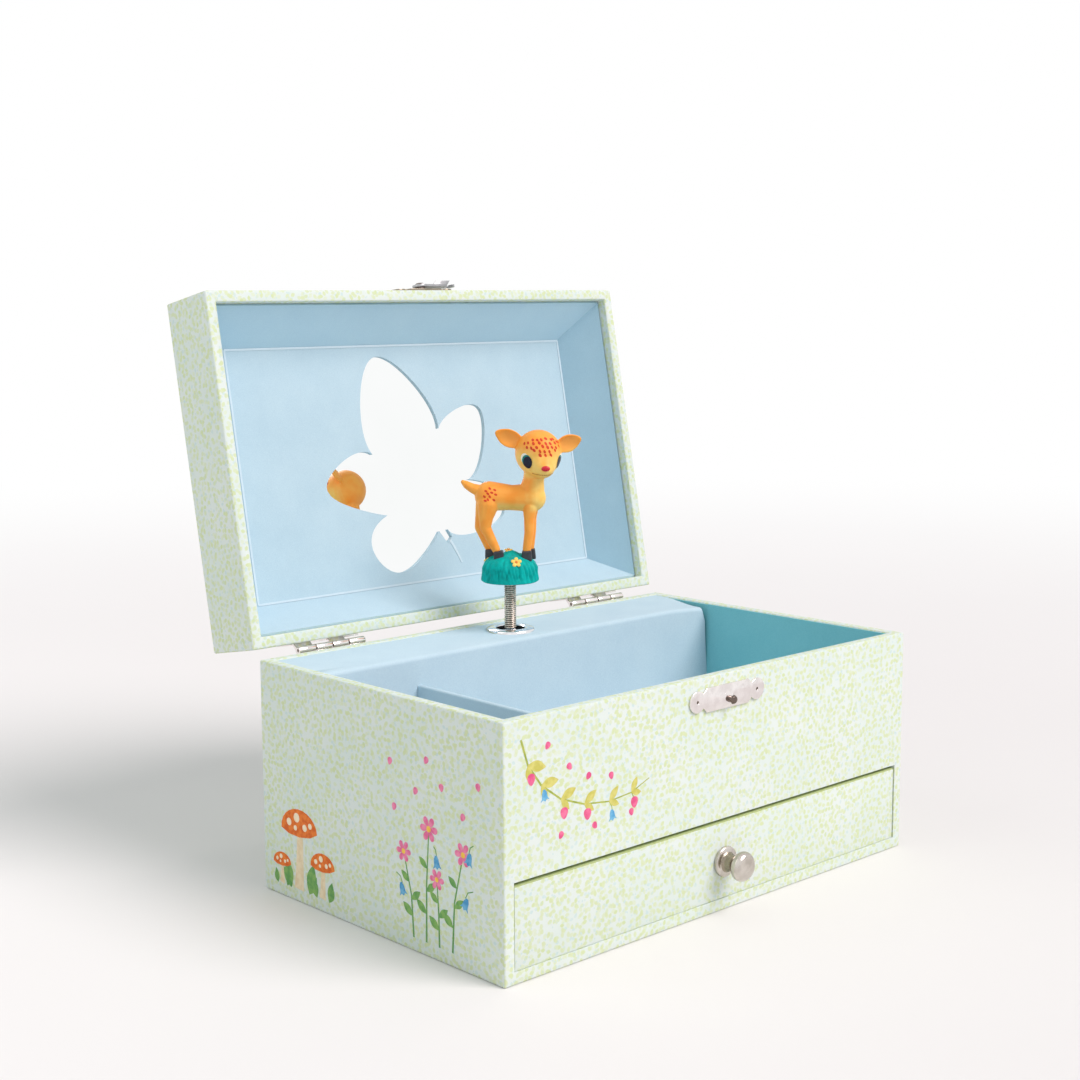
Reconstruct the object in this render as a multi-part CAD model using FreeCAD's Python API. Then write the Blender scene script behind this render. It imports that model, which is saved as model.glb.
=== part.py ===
import FreeCAD, Part
import math
import os
from FreeCAD import Vector

# Musical jewellery box: a paper-covered board case with a lined tray, a drawer below it, a hinged
# lid with a mirror, and a spring-mounted toy fawn turned by a clockwork movement in the tray's back.
# Millimetres. The front faces -Y, up is +Z, the origin is the middle of the base's underside.

# Driving dimensions of the case
CASE_W = 220.0
CASE_D = 139.0
CASE_H = 90.0
BOARD = 4.5
LINING = 0.6
SHELF_BOTTOM = 35.3
SHELF_TOP = 39.3

# Driving dimensions of the lid and its hinges
LID_H = 28.7
LID_OPEN = 101.0
RIM_GAP = 0.3
HINGE_BEHIND = 2.9
HINGE_X = 74.0
HINGE_LENGTH = 32.0
KNUCKLES = 4
KNUCKLE_R = 1.5
PIN_R = 0.6
LEAF = 0.8
LINER_DEPTH = 21.0
LINER_RECESS = 4.0
CARD = 1.0

# Driving dimensions of the drawer
DRAWER_GAP = 0.6
FACE_SET_BACK = 0.4
FACE_LIFT = 0.1
FACE_BELOW_SHELF = 1.0
DRAWER_UNDER = 0.4
SIDE_GAP = 1.0
DRAWER_SIDE = 3.0
DRAWER_BOTTOM = 2.5
DRAWER_BACK_Y = 61.0
DRAWER_SIDE_H = 26.0
KNOB_Z = 18.6

# Driving dimensions of the music housing and the figure's axis
HOUSING_FRONT = 33.0
HOUSING_TOP = 89.6
HOUSING_WALL = 2.0
HOUSING_ROUND = 3.0
AXIS_Y = 48.5
GROMMET_HOLE_R = 5.5
FOLD_Z = 94.3
FIGURE_TURN = -42.0
MOUND_BOTTOM = 110.3
MOUND_R = 12.2

# Driving dimensions of the coil spring
SPRING_R = 2.25
WIRE_R = 0.25
SPRING_PITCH = 0.95
SPRING_TURNS = 19
SPRING_FOOT_Z = 89.95
WIRE_BEND_R = 0.6
WIRE_SIDES = 6

# Driving dimensions of the movement; RUN is the play of a turning fit, PAST how far a bore overshoots
BARREL_Z = 52.0
CROWN_TEETH = 48
PINION_TEETH = 12
CROWN_MODULE = 0.42
WHEEL_TEETH = 44
GOVERNOR_TEETH = 9
WHEEL_MODULE = 0.4
WORM_WHEEL_TEETH = 20
GOVERNOR_X = -9.8
GOVERNOR_Y = 44.5
WORM_X = -15.2
WORM_Z = 55.0
COMB_TEETH = 18
CYLINDER_R = 6.3
CYLINDER_Z = (65.0, 82.0)
RUN = 0.05
PAST = 1.0

# Sizes worked out from the driving dimensions
HALF_W = CASE_W / 2
HALF_D = CASE_D / 2
IN_X = HALF_W - BOARD
IN_Y = HALF_D - BOARD
LINED_X = IN_X - LINING
LINED_Y = IN_Y - LINING
LID_RIM = CASE_H + RIM_GAP
LID_TOP = LID_RIM + LID_H
LID_UNDER = LID_TOP - BOARD
HINGE_Y = HALF_D + HINGE_BEHIND
HINGE_Z = LID_RIM
X = Vector(1, 0, 0)
Y = Vector(0, 1, 0)
Z = Vector(0, 0, 1)
os.makedirs("parts", exist_ok=True)


def box(x0, x1, y0, y1, z0, z1):
    return Part.makeBox(x1 - x0, y1 - y0, z1 - z0, Vector(x0, y0, z0))


def rod(radius, start, end):
    start = Vector(*start)
    end = Vector(*end)
    return Part.makeCylinder(radius, (end - start).Length, start, end - start)


def prism(points, direction):
    corners = [Vector(*p) for p in points]
    wire = Part.makePolygon(corners + corners[:1])
    return Part.Face(wire).extrude(Vector(*direction))


def turned(profile, base, axis):
    """Turn a closed wire of edges about an axis."""
    solid = Part.Face(Part.Wire(profile)).revolve(Vector(*base), axis, 360)
    if solid.Volume < 0:
        solid.reverse()
    return solid


def line(a, b):
    return Part.makeLine(Vector(*a), Vector(*b))


def arc(a, b, c):
    return Part.Arc(Vector(*a), Vector(*b), Vector(*c)).toShape()


def crown_arc(place, r, low, high):
    """An arc from a rim of radius r at low up to the axis at high, centred on the axis."""
    ball_r = (r ** 2 + (high - low) ** 2) / (2 * (high - low))
    half = math.asin(r / ball_r) / 2
    middle = place(ball_r * math.sin(half), high - ball_r + ball_r * math.cos(half))
    return arc(place(r, low), middle, place(0, high))


def joined(shapes):
    return shapes[0].multiFuse(shapes[1:]).removeSplitter()


def group(shapes):
    return Part.makeCompound(shapes)


def save(shape, node):
    shape.exportStep("parts/" + node + ".step")


def save_lid(shape, node):
    """Lid pieces are drawn closed, then swung open about the hinge axis."""
    opened = shape.copy()
    opened.rotate(Vector(0, HINGE_Y, HINGE_Z), X, -LID_OPEN)
    save(opened, node)


# Case boards: the sides run the full depth, the other boards sit between them.
for node, side in (("left_side_board", -1), ("right_side_board", 1)):
    x0, x1 = sorted((side * HALF_W, side * IN_X))
    save(box(x0, x1, -HALF_D, HALF_D, 0, CASE_H), node)
save(box(-IN_X, IN_X, -HALF_D, -IN_Y, SHELF_BOTTOM, CASE_H), "front_board")
save(box(-IN_X, IN_X, -HALF_D, IN_Y, 0, BOARD), "base_board")
save(box(-IN_X, IN_X, -IN_Y, IN_Y, SHELF_BOTTOM, SHELF_TOP), "shelf_board")
KEY_HOLE_R = 4.0
SCREW_R = 1.3
SCREW_PLACES = [(-24.0, 46.0), (17.0, 46.0), (17.0, 80.0)]
back_board = box(-IN_X, IN_X, IN_Y, HALF_D, 0, CASE_H)
back_board = back_board.cut(rod(KEY_HOLE_R, (0, IN_Y - PAST, BARREL_Z), (0, HALF_D + PAST, BARREL_Z)))
for x, z in SCREW_PLACES:
    back_board = back_board.cut(rod(SCREW_R + RUN, (x, IN_Y - PAST, z), (x, HALF_D + PAST, z)))
save(back_board, "back_board")

# Tray linings: flocked card on the boards, and a divider that stops below the rim.
LINING_DROP = 0.6
LINING_TOP = CASE_H - LINING_DROP
LINED_FLOOR = SHELF_TOP + LINING
DIVIDER_X = (-62.2, -60.0)
DIVIDER_TOP = 78.6
save(box(-IN_X, -LINED_X, -IN_Y, HOUSING_FRONT, SHELF_TOP, LINING_TOP), "tray_lining_left")
save(box(LINED_X, IN_X, -IN_Y, HOUSING_FRONT, SHELF_TOP, LINING_TOP), "tray_lining_right")
save(box(-LINED_X, LINED_X, -IN_Y, -LINED_Y, SHELF_TOP, LINING_TOP), "tray_lining_front")
save(box(-LINED_X, LINED_X, -LINED_Y, HOUSING_FRONT, SHELF_TOP, LINED_FLOOR), "tray_lining_floor")
save(box(*DIVIDER_X, -LINED_Y, HOUSING_FRONT, LINED_FLOOR, DIVIDER_TOP), "tray_divider")


# Music housing: one card bent over a rounded front edge, with a hole for the turning spindle.
def housing_outline(inset, round_r):
    front = HOUSING_FRONT + inset
    top = HOUSING_TOP - inset
    slack = round_r * (1 - math.sqrt(0.5))
    x = -IN_X
    return [line((x, IN_Y, top), (x, front + round_r, top)),
            arc((x, front + round_r, top), (x, front + slack, top - slack), (x, front, top - round_r)),
            line((x, front, top - round_r), (x, front, SHELF_TOP))]


outer = housing_outline(0, HOUSING_ROUND)
inner = housing_outline(HOUSING_WALL, HOUSING_ROUND - HOUSING_WALL)
ends = [line((-IN_X, IN_Y, HOUSING_TOP), (-IN_X, IN_Y, HOUSING_TOP - HOUSING_WALL)),
        line((-IN_X, HOUSING_FRONT, SHELF_TOP), (-IN_X, HOUSING_FRONT + HOUSING_WALL, SHELF_TOP))]
housing_edges = Part.__sortEdges__(outer + inner + ends)
housing = Part.Face(Part.Wire(housing_edges)).extrude(Vector(2 * IN_X, 0, 0))
GROMMET_TUBE_R = 6.1
hole_z = (HOUSING_TOP - HOUSING_WALL - PAST, HOUSING_TOP + PAST)
tube_hole = rod(GROMMET_TUBE_R + RUN, (0, AXIS_Y, hole_z[0]), (0, AXIS_Y, hole_z[1]))
save(housing.cut(tube_hole), "music_housing")

# Grommet: a turned eyelet with a domed flange.
GROMMET_R = 10.2
GROMMET_CREST_R = 7.9
TUBE_BELOW = 0.4
GROMMET_DOME = 1.6
dome_top = HOUSING_TOP + GROMMET_DOME
tube_end = HOUSING_TOP - HOUSING_WALL - TUBE_BELOW


def at_axis(r, z):
    return (r, AXIS_Y, z)


crest = at_axis(GROMMET_CREST_R, dome_top)
grommet_edges = [
    line(at_axis(GROMMET_HOLE_R, tube_end), at_axis(GROMMET_TUBE_R, tube_end)),
    line(at_axis(GROMMET_TUBE_R, tube_end), at_axis(GROMMET_TUBE_R, HOUSING_TOP)),
    line(at_axis(GROMMET_TUBE_R, HOUSING_TOP), at_axis(GROMMET_R, HOUSING_TOP)),
    arc(at_axis(GROMMET_R, HOUSING_TOP), crest, at_axis(GROMMET_HOLE_R, HOUSING_TOP)),
    line(at_axis(GROMMET_HOLE_R, HOUSING_TOP), at_axis(GROMMET_HOLE_R, tube_end))]
save(turned(grommet_edges, (0, AXIS_Y, 0), Z), "grommet")


# Catch and latch plates: a stamped plate whose round end lobes are nicked off the middle.
PLATE = 0.8
NAIL_R = 0.5
NAIL_HEAD_R = 1.1
NAIL_HEAD = 0.6
NAIL_LENGTH = 3.0
WAIST = 0.62
WAIST_IN = 0.8


def lobed_plate(half_length, half_height, lobe_r, z):
    """A plate whose middle narrows to two waists before its round end lobes."""
    lobe_x = half_length - lobe_r
    waist_x = lobe_x - WAIST_IN * lobe_r
    waist = WAIST * half_height
    step_x = waist_x - (half_height - waist)
    front = -HALF_D - PLATE
    outline = [(-lobe_x, front, z - waist), (-waist_x, front, z - waist), (-step_x, front, z - half_height),
               (step_x, front, z - half_height), (waist_x, front, z - waist), (lobe_x, front, z - waist),
               (lobe_x, front, z + waist), (waist_x, front, z + waist), (step_x, front, z + half_height),
               (-step_x, front, z + half_height), (-waist_x, front, z + waist), (-lobe_x, front, z + waist)]
    shapes = [prism(outline, (0, PLATE, 0))]
    for sx in (-1, 1):
        shapes.append(rod(lobe_r, (sx * lobe_x, front, z), (sx * lobe_x, -HALF_D, z)))
    plate = joined(shapes)
    for sx in (-1, 1):
        plate = plate.cut(rod(NAIL_R + RUN, (sx * lobe_x, front - PAST, z), (sx * lobe_x, -HALF_D + PAST, z)))
    return plate


def nail(head, shank_direction):
    """A round-headed nail: the head sits on a plate and the shank runs into the board."""
    head = Vector(*head)
    way = Vector(*shank_direction)
    ball_r = (NAIL_HEAD_R ** 2 + NAIL_HEAD ** 2) / (2 * NAIL_HEAD)
    ball = Part.makeSphere(ball_r, head + way * (ball_r - NAIL_HEAD))
    cap = ball.common(Part.makeCylinder(NAIL_HEAD_R + PAST, NAIL_HEAD, head, way * -1))
    return cap.fuse(Part.makeCylinder(NAIL_R, NAIL_LENGTH, head, way))


CATCH_HALF = 20.5
CATCH_HALF_H = 4.5
CATCH_LOBE_R = 4.05
CATCH_Z = 81.6
STUD_Z = 80.5
STUD_R = 1.1
STUD_OUT = 4.2
STUD_DEEP = 2.5
STUD_HEAD = 0.8
STUD_HEAD_R = 1.5
DOME_R = 3.2
DOME_RISE = 0.9
catch_front = -HALF_D - PLATE


def dome_point(r, out):
    return (r, catch_front - out, STUD_Z)


dome_edges = [line(dome_point(0, 0), dome_point(DOME_R, 0)), crown_arc(dome_point, DOME_R, 0, DOME_RISE),
              line(dome_point(0, DOME_RISE), dome_point(0, 0))]
dome = turned(dome_edges, (0, catch_front, STUD_Z), Y)
catch_plate = joined([lobed_plate(CATCH_HALF, CATCH_HALF_H, CATCH_LOBE_R, CATCH_Z), dome])
stud_bore = rod(STUD_R + RUN, (0, catch_front - DOME_RISE - PAST, STUD_Z), (0, -HALF_D + PAST, STUD_Z))
save(catch_plate.cut(stud_bore), "catch_plate")
stud_tip = -HALF_D - STUD_OUT
stud_neck = rod(STUD_R, (0, stud_tip, STUD_Z), (0, -HALF_D + STUD_DEEP, STUD_Z))
stud_head = Part.makeCone(STUD_R, STUD_HEAD_R, STUD_HEAD, Vector(0, stud_tip, STUD_Z), Y)
save(stud_neck.fuse(stud_head), "catch_stud")

LATCH_HALF = 16.2
LATCH_HALF_H = 4.2
LATCH_LOBE_R = 3.6
LATCH_ABOVE_RIM = 4.9
LATCH_Z = LID_RIM + LATCH_ABOVE_RIM
HOOK_OFF = 2.0
HOOK_BACK = HALF_D + HOOK_OFF
HOOK_T = 1.0
RIVET_R = 1.0
RIVET_DEEP = 2.5
RIVET_HEAD_R = (2.4, 1.5)
RIVET_HEAD = 0.7
RIVET_PLAY = 0.1
BOSS_R = 2.2
hook_front = -HOOK_BACK - HOOK_T
rivet_seat = hook_front - RIVET_PLAY
latch_plate = lobed_plate(LATCH_HALF, LATCH_HALF_H, LATCH_LOBE_R, LATCH_Z)
rivet_bore = rod(RIVET_R + RUN, (0, hook_front - PAST, LATCH_Z), (0, -HALF_D + PAST, LATCH_Z))
save_lid(latch_plate.cut(rivet_bore), "latch_plate")
boss = rod(BOSS_R, (0, -HOOK_BACK + RUN, LATCH_Z), (0, -HALF_D - PLATE, LATCH_Z))
rivet_pin = rod(RIVET_R, (0, rivet_seat - RIVET_PLAY, LATCH_Z), (0, -HALF_D + RIVET_DEEP, LATCH_Z))
rivet_head = Part.makeCone(*RIVET_HEAD_R, RIVET_HEAD, Vector(0, rivet_seat, LATCH_Z), -Y)
save_lid(joined([boss, rivet_pin, rivet_head]), "latch_rivet")

# Swivel hook: an arm with a notch for the stud on its leading edge and a finger tab on the other.
HOOK_REACH = LATCH_Z - STUD_Z
HOOK_HALF = 2.5
HOOK_TIP = 1.4
HOOK_RING_R = 3.2
NOTCH_R = 1.6
TAB_X = (8.5, 16.5)
TAB_OUT = 2.4
TAB_T = 0.75
arm_end_x = HOOK_REACH + HOOK_TIP
arm = box(0, arm_end_x, hook_front, -HOOK_BACK, LATCH_Z - HOOK_HALF, LATCH_Z + HOOK_HALF)
arm_end = rod(HOOK_HALF, (arm_end_x, hook_front, LATCH_Z), (arm_end_x, -HOOK_BACK, LATCH_Z))
hook_ring = rod(HOOK_RING_R, (0, hook_front, LATCH_Z), (0, -HOOK_BACK, LATCH_Z))
tab_top = LATCH_Z + HOOK_HALF
tab = box(*TAB_X, hook_front - TAB_OUT, hook_front, tab_top - TAB_T, tab_top)
hook = joined([arm, arm_end, hook_ring, tab])
notch = rod(NOTCH_R, (HOOK_REACH, hook_front - PAST, LATCH_Z), (HOOK_REACH, -HOOK_BACK + PAST, LATCH_Z))
notch_x = (HOOK_REACH - NOTCH_R, HOOK_REACH + NOTCH_R)
notch_mouth = box(*notch_x, hook_front - PAST, -HOOK_BACK + PAST, LATCH_Z - HOOK_HALF - PAST, LATCH_Z)
save_lid(hook.cut(notch).cut(notch_mouth).cut(rivet_bore), "latch_hook")

# Butt hinges: each leaf is a plate on the outer back face whose top curls into alternate knuckles.
LEAF_TALL = 10.8
LEAF_DROP = 1.9
LEAF_CURL = 1.2
CURL_OUTER = (0.25 * KNUCKLE_R, 0.8 * KNUCKLE_R)
CURL_INNER = (0.4 * KNUCKLE_R, 0.2 * KNUCKLE_R)
LEAF_NAIL_DROP = 8.5
knuckle_step = HINGE_LENGTH / KNUCKLES
NAIL_OFF_X = 10.0


def leaf_body(x0, x1):
    """The part of a leaf that slopes from its plate up to a knuckle."""
    top = HINGE_Z - LEAF_DROP
    slope = [(x0, HALF_D, top - LEAF_CURL), (x0, HALF_D + LEAF, top - LEAF_CURL),
             (x0, HINGE_Y + CURL_OUTER[0], HINGE_Z - CURL_OUTER[1]),
             (x0, HINGE_Y - CURL_INNER[0], HINGE_Z - CURL_INNER[1]), (x0, HALF_D, top)]
    return prism(slope, (x1 - x0, 0, 0))


def hinge_leaf(centre_x, first):
    """A leaf below the hinge axis that holds every other knuckle, counted from first."""
    left = centre_x - HINGE_LENGTH / 2
    plate_top = HINGE_Z - LEAF_DROP - LEAF_CURL
    shapes = [box(left, left + HINGE_LENGTH, HALF_D, HALF_D + LEAF, plate_top - LEAF_TALL, plate_top)]
    for i in range(first, KNUCKLES, 2):
        x0 = left + i * knuckle_step + RUN
        x1 = left + (i + 1) * knuckle_step - RUN
        shapes.append(leaf_body(x0, x1))
        shapes.append(rod(KNUCKLE_R, (x0, HINGE_Y, HINGE_Z), (x1, HINGE_Y, HINGE_Z)))
    leaf = joined(shapes)
    bore_x = (left - PAST, left + HINGE_LENGTH + PAST)
    leaf = leaf.cut(rod(PIN_R + RUN, (bore_x[0], HINGE_Y, HINGE_Z), (bore_x[1], HINGE_Y, HINGE_Z)))
    for sx in (-1, 1):
        at = (centre_x + sx * NAIL_OFF_X, HALF_D - PAST, HINGE_Z - LEAF_NAIL_DROP)
        leaf = leaf.cut(rod(NAIL_R + RUN, at, (at[0], HALF_D + LEAF + PAST, at[2])))
    return leaf


def over_axis(shape):
    """Turn a piece half round the Y direction at the hinge's height, from the case to the lid."""
    flipped = shape.copy()
    flipped.rotate(Vector(0, HINGE_Y, HINGE_Z), Y, 180)
    return flipped


case_leaves = [hinge_leaf(sx * HINGE_X, 1) for sx in (-1, 1)]
lid_leaves = [over_axis(leaf) for leaf in case_leaves]
save(group(case_leaves), "case_hinge_leaves")
save_lid(group(lid_leaves), "lid_hinge_leaves")
pins = []
for sx in (-1, 1):
    x0 = sx * HINGE_X - HINGE_LENGTH / 2
    pins.append(rod(PIN_R, (x0, HINGE_Y, HINGE_Z), (x0 + HINGE_LENGTH, HINGE_Y, HINGE_Z)))
save(group(pins), "hinge_pins")
leaf_nails = []
for hinge_x in (-HINGE_X, HINGE_X):
    for off in (-NAIL_OFF_X, NAIL_OFF_X):
        leaf_nails.append(nail((hinge_x + off, HALF_D + LEAF, HINGE_Z - LEAF_NAIL_DROP), (0, -1, 0)))
catch_nail_x = CATCH_HALF - CATCH_LOBE_R
catch_nails = [nail((sx * catch_nail_x, -HALF_D - PLATE, CATCH_Z), (0, 1, 0)) for sx in (-1, 1)]
save(group(leaf_nails + catch_nails), "case_nails")
latch_nail_x = LATCH_HALF - LATCH_LOBE_R
latch_nails = [nail((sx * latch_nail_x, -HALF_D - PLATE, LATCH_Z), (0, 1, 0)) for sx in (-1, 1)]
save_lid(group([over_axis(n) for n in leaf_nails] + latch_nails), "lid_nails")

# Lid boards: a top board on four walls.
save_lid(box(-HALF_W, HALF_W, -HALF_D, HALF_D, LID_UNDER, LID_TOP), "lid_top_board")
save_lid(box(-HALF_W, HALF_W, -HALF_D, -IN_Y, LID_RIM, LID_UNDER), "lid_front_board")
save_lid(box(-HALF_W, HALF_W, IN_Y, HALF_D, LID_RIM, LID_UNDER), "lid_back_board")
save_lid(box(-HALF_W, -IN_X, -IN_Y, IN_Y, LID_RIM, LID_UNDER), "lid_left_board")
save_lid(box(IN_X, HALF_W, -IN_Y, IN_Y, LID_RIM, LID_UNDER), "lid_right_board")

# Lid liner: a creased card, its flat panel die-cut with a five-lobed leaf, its flaps down to the walls.
PANEL_X = 92.0
PANEL_Y = (-50.0, 53.5)
panel_z = LID_RIM + LINER_DEPTH
recess_z = LID_RIM + LINER_RECESS
LEAF_LOBES = [((-24.9, -3.3), (-27.6, -26.0), (-17.5, -44.6), (1.5, -34.5), (13.0, -12.4)),
              ((13.0, -12.4), (25.0, -20.6), (37.4, -21.0), (38.6, -6.0), (26.4, 11.2)),
              ((26.4, 11.2), (32.0, 12.2), (40.6, 16.0), (45.4, 25.0), (32.0, 34.0), (10.6, 32.1)),
              ((5.8, 32.5), (-4.5, 42.0), (-21.0, 47.6), (-30.6, 39.0), (-21.3, 23.1)),
              ((-21.3, 23.1), (-37.5, 18.7), (-50.7, 9.5), (-42.0, -0.6), (-24.9, -3.3))]
STEM = ((10.6, 32.1), (12.4, 35.4), (9.6, 38.2), (5.8, 32.5))


def spline(points):
    curve = Part.BSplineCurve()
    curve.interpolate([Vector(x, y, panel_z) for x, y in points])
    return curve.toShape()


leaf_edges = [spline(lobe) for lobe in LEAF_LOBES]
stem_ends = [Vector(x, y, panel_z) for x, y in STEM]
leaf_edges += [Part.makeLine(stem_ends[i], stem_ends[i + 1]) for i in range(len(STEM) - 1)]
leaf_wire = Part.Wire(Part.__sortEdges__(leaf_edges))
panel_corners = [Vector(sx * PANEL_X, y, panel_z) for sx, y in
                 ((-1, PANEL_Y[0]), (1, PANEL_Y[0]), (1, PANEL_Y[1]), (-1, PANEL_Y[1]))]
panel_rim = Part.makePolygon(panel_corners + panel_corners[:1])
panel = Part.Face(panel_rim).cut(Part.Face(leaf_wire)).extrude(Vector(0, 0, CARD))
save_lid(panel, "lid_liner_panel")
MIRROR_X = (-56.0, 48.0)
MIRROR_Y = (-48.5, 52.0)
save_lid(box(*MIRROR_X, *MIRROR_Y, panel_z + CARD, LID_UNDER), "mirror")
FLAP_CLEAR = 0.9
FLAP_EDGE_X = IN_X - FLAP_CLEAR
FLAP_EDGE_Y = IN_Y - FLAP_CLEAR


def flap(a, b, c, d, out):
    """A card flap between its crease a-b and its edge c-d, thickened towards out."""
    corners = [Vector(*p) for p in (a, b, c, d)]
    normal = (corners[1] - corners[0]).cross(corners[3] - corners[0])
    normal.normalize()
    if normal.dot(Vector(*out)) < 0:
        normal = normal * -1
    return prism((a, b, c, d), normal * CARD)


crease = {(sx, sy): (sx * PANEL_X, PANEL_Y[0] if sy < 0 else PANEL_Y[1], panel_z)
          for sx in (-1, 1) for sy in (-1, 1)}
edge = {(sx, sy): (sx * FLAP_EDGE_X, sy * FLAP_EDGE_Y, recess_z) for sx in (-1, 1) for sy in (-1, 1)}
for node, ends, out in (("lid_flap_front", ((-1, -1), (1, -1)), (0, -1, 0)),
                        ("lid_flap_back", ((-1, 1), (1, 1)), (0, 1, 0)),
                        ("lid_flap_left", ((-1, -1), (-1, 1)), (-1, 0, 0)),
                        ("lid_flap_right", ((1, -1), (1, 1)), (1, 0, 0))):
    a, b = ends
    save_lid(flap(crease[a], crease[b], edge[b], edge[a], out), node)

# Drawer: a board front, butted sides, back and bottom, a lined floor and a turned knob.
drawer_half = IN_X - DRAWER_GAP
drawer_y = -HALF_D + FACE_SET_BACK
side_front = drawer_y + BOARD
drawer_z = BOARD + DRAWER_UNDER
side_half = IN_X - SIDE_GAP
inner_half = side_half - DRAWER_SIDE
side_top = drawer_z + DRAWER_SIDE_H
KNOB_SCREW_R = 1.5
face_z = (drawer_z + FACE_LIFT, SHELF_BOTTOM - FACE_BELOW_SHELF)
front = box(-drawer_half, drawer_half, drawer_y, side_front, *face_z)
knob_bore = rod(KNOB_SCREW_R + RUN, (0, drawer_y - PAST, KNOB_Z), (0, side_front + PAST, KNOB_Z))
save(front.cut(knob_bore), "drawer_front")
save(box(-side_half, -inner_half, side_front, DRAWER_BACK_Y, drawer_z, side_top), "drawer_left_side")
save(box(inner_half, side_half, side_front, DRAWER_BACK_Y, drawer_z, side_top), "drawer_right_side")
drawer_back_y = DRAWER_BACK_Y - DRAWER_SIDE
save(box(-inner_half, inner_half, drawer_back_y, DRAWER_BACK_Y, drawer_z, side_top), "drawer_back")
floor_z = drawer_z + DRAWER_BOTTOM
save(box(-inner_half, inner_half, side_front, drawer_back_y, drawer_z, floor_z), "drawer_bottom")
save(box(-inner_half, inner_half, side_front, drawer_back_y, floor_z, floor_z + LINING), "drawer_lining")

# Knob: a turned foot disc, waist and mushroom head, held by a screw from inside the drawer.
KNOB_FOOT_R = 5.8
KNOB_FOOT = 0.9
KNOB_WAIST_R = 2.9
KNOB_WAIST = (2.4, 6.6)
KNOB_HEAD_R = 5.6
KNOB_UNDER = (4.7, 7.2)
KNOB_RIM = (8.6, 9.3)
KNOB_OUT = 12.1


def knob_point(r, out):
    return (r, drawer_y - out, KNOB_Z)


knob_edges = [
    line(knob_point(0, 0), knob_point(KNOB_FOOT_R, 0)),
    line(knob_point(KNOB_FOOT_R, 0), knob_point(KNOB_FOOT_R, KNOB_FOOT)),
    line(knob_point(KNOB_FOOT_R, KNOB_FOOT), knob_point(KNOB_WAIST_R, KNOB_WAIST[0])),
    line(knob_point(KNOB_WAIST_R, KNOB_WAIST[0]), knob_point(KNOB_WAIST_R, KNOB_WAIST[1])),
    arc(knob_point(KNOB_WAIST_R, KNOB_WAIST[1]), knob_point(*KNOB_UNDER),
        knob_point(KNOB_HEAD_R, KNOB_RIM[0])),
    line(knob_point(KNOB_HEAD_R, KNOB_RIM[0]), knob_point(KNOB_HEAD_R, KNOB_RIM[1])),
    crown_arc(knob_point, KNOB_HEAD_R, KNOB_RIM[1], KNOB_OUT),
    line(knob_point(0, KNOB_OUT), knob_point(0, 0))]
SCREW_DEEP = 5.0
HOLE_DEEP = 5.5
KNOB_SCREW_HEAD_R = (3.2, 2.2)
KNOB_SCREW_HEAD = 1.4
knob = turned(knob_edges, (0, drawer_y, KNOB_Z), Y)
thread_hole = rod(KNOB_SCREW_R + RUN, (0, drawer_y - HOLE_DEEP, KNOB_Z), (0, drawer_y + PAST, KNOB_Z))
save(knob.cut(thread_hole), "drawer_knob")
shank_y = (drawer_y - SCREW_DEEP, side_front + KNOB_SCREW_HEAD / 2)
knob_shank = rod(KNOB_SCREW_R, (0, shank_y[0], KNOB_Z), (0, shank_y[1], KNOB_Z))
knob_screw_head = Part.makeCone(*KNOB_SCREW_HEAD_R, KNOB_SCREW_HEAD, Vector(0, side_front, KNOB_Z), Y)
save(knob_shank.fuse(knob_screw_head), "knob_screw")


# Coil spring: one six-sided wire whose ends bend upright, onto the spindle's cup and under the mound.
def helix_point(angle):
    lift = spring_start + SPRING_PITCH * angle / (2 * math.pi)
    return Vector(SPRING_R * math.cos(angle), AXIS_Y + SPRING_R * math.sin(angle), lift)


def helix_way(angle):
    rise = SPRING_PITCH / (2 * math.pi)
    way = Vector(-SPRING_R * math.sin(angle), SPRING_R * math.cos(angle), rise)
    return way.normalize()


def arc_from(start, way, end):
    """The arc that leaves start along way and reaches end."""
    chord = end - start
    along = Vector(chord).normalize()
    aside = (way - along * way.dot(along)).normalize()
    bend = math.acos(max(-1.0, min(1.0, way.dot(along))))
    middle = start + chord * 0.5 + aside * (chord.Length / 2 * math.tan(bend / 2))
    return Part.Arc(start, middle, end).toShape()


def biarc(start, start_way, end, end_way):
    """Two arcs that meet in one direction between two points with given directions."""
    span = end - start
    ways = start_way + end_way
    sharp = 2 * (1 - start_way.dot(end_way))
    reach = (math.sqrt(span.dot(ways) ** 2 + sharp * span.dot(span)) - span.dot(ways)) / sharp
    meet = (start + start_way * reach + end - end_way * reach) * 0.5
    back = arc_from(end, end_way * -1, meet)
    return [arc_from(start, start_way, meet), back]


def upright_end(point, way, up):
    """Bend the wire at a helix end from its own direction to straight up or down."""
    slope = math.asin(abs(way.z))
    flat = Vector(way.x, way.y, 0).normalize()
    centre = point + flat * (WIRE_BEND_R * math.sin(slope)) * -up - Z * (WIRE_BEND_R * math.cos(slope)) * -up
    turn_end = centre + flat * WIRE_BEND_R * up
    half = Vector(point - centre + turn_end - centre).normalize()
    bend = Part.Arc(point, centre + half * WIRE_BEND_R, turn_end).toShape()
    tip = turn_end + Z * (2 * WIRE_R) * up
    return bend, Part.makeLine(turn_end, tip), tip


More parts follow.
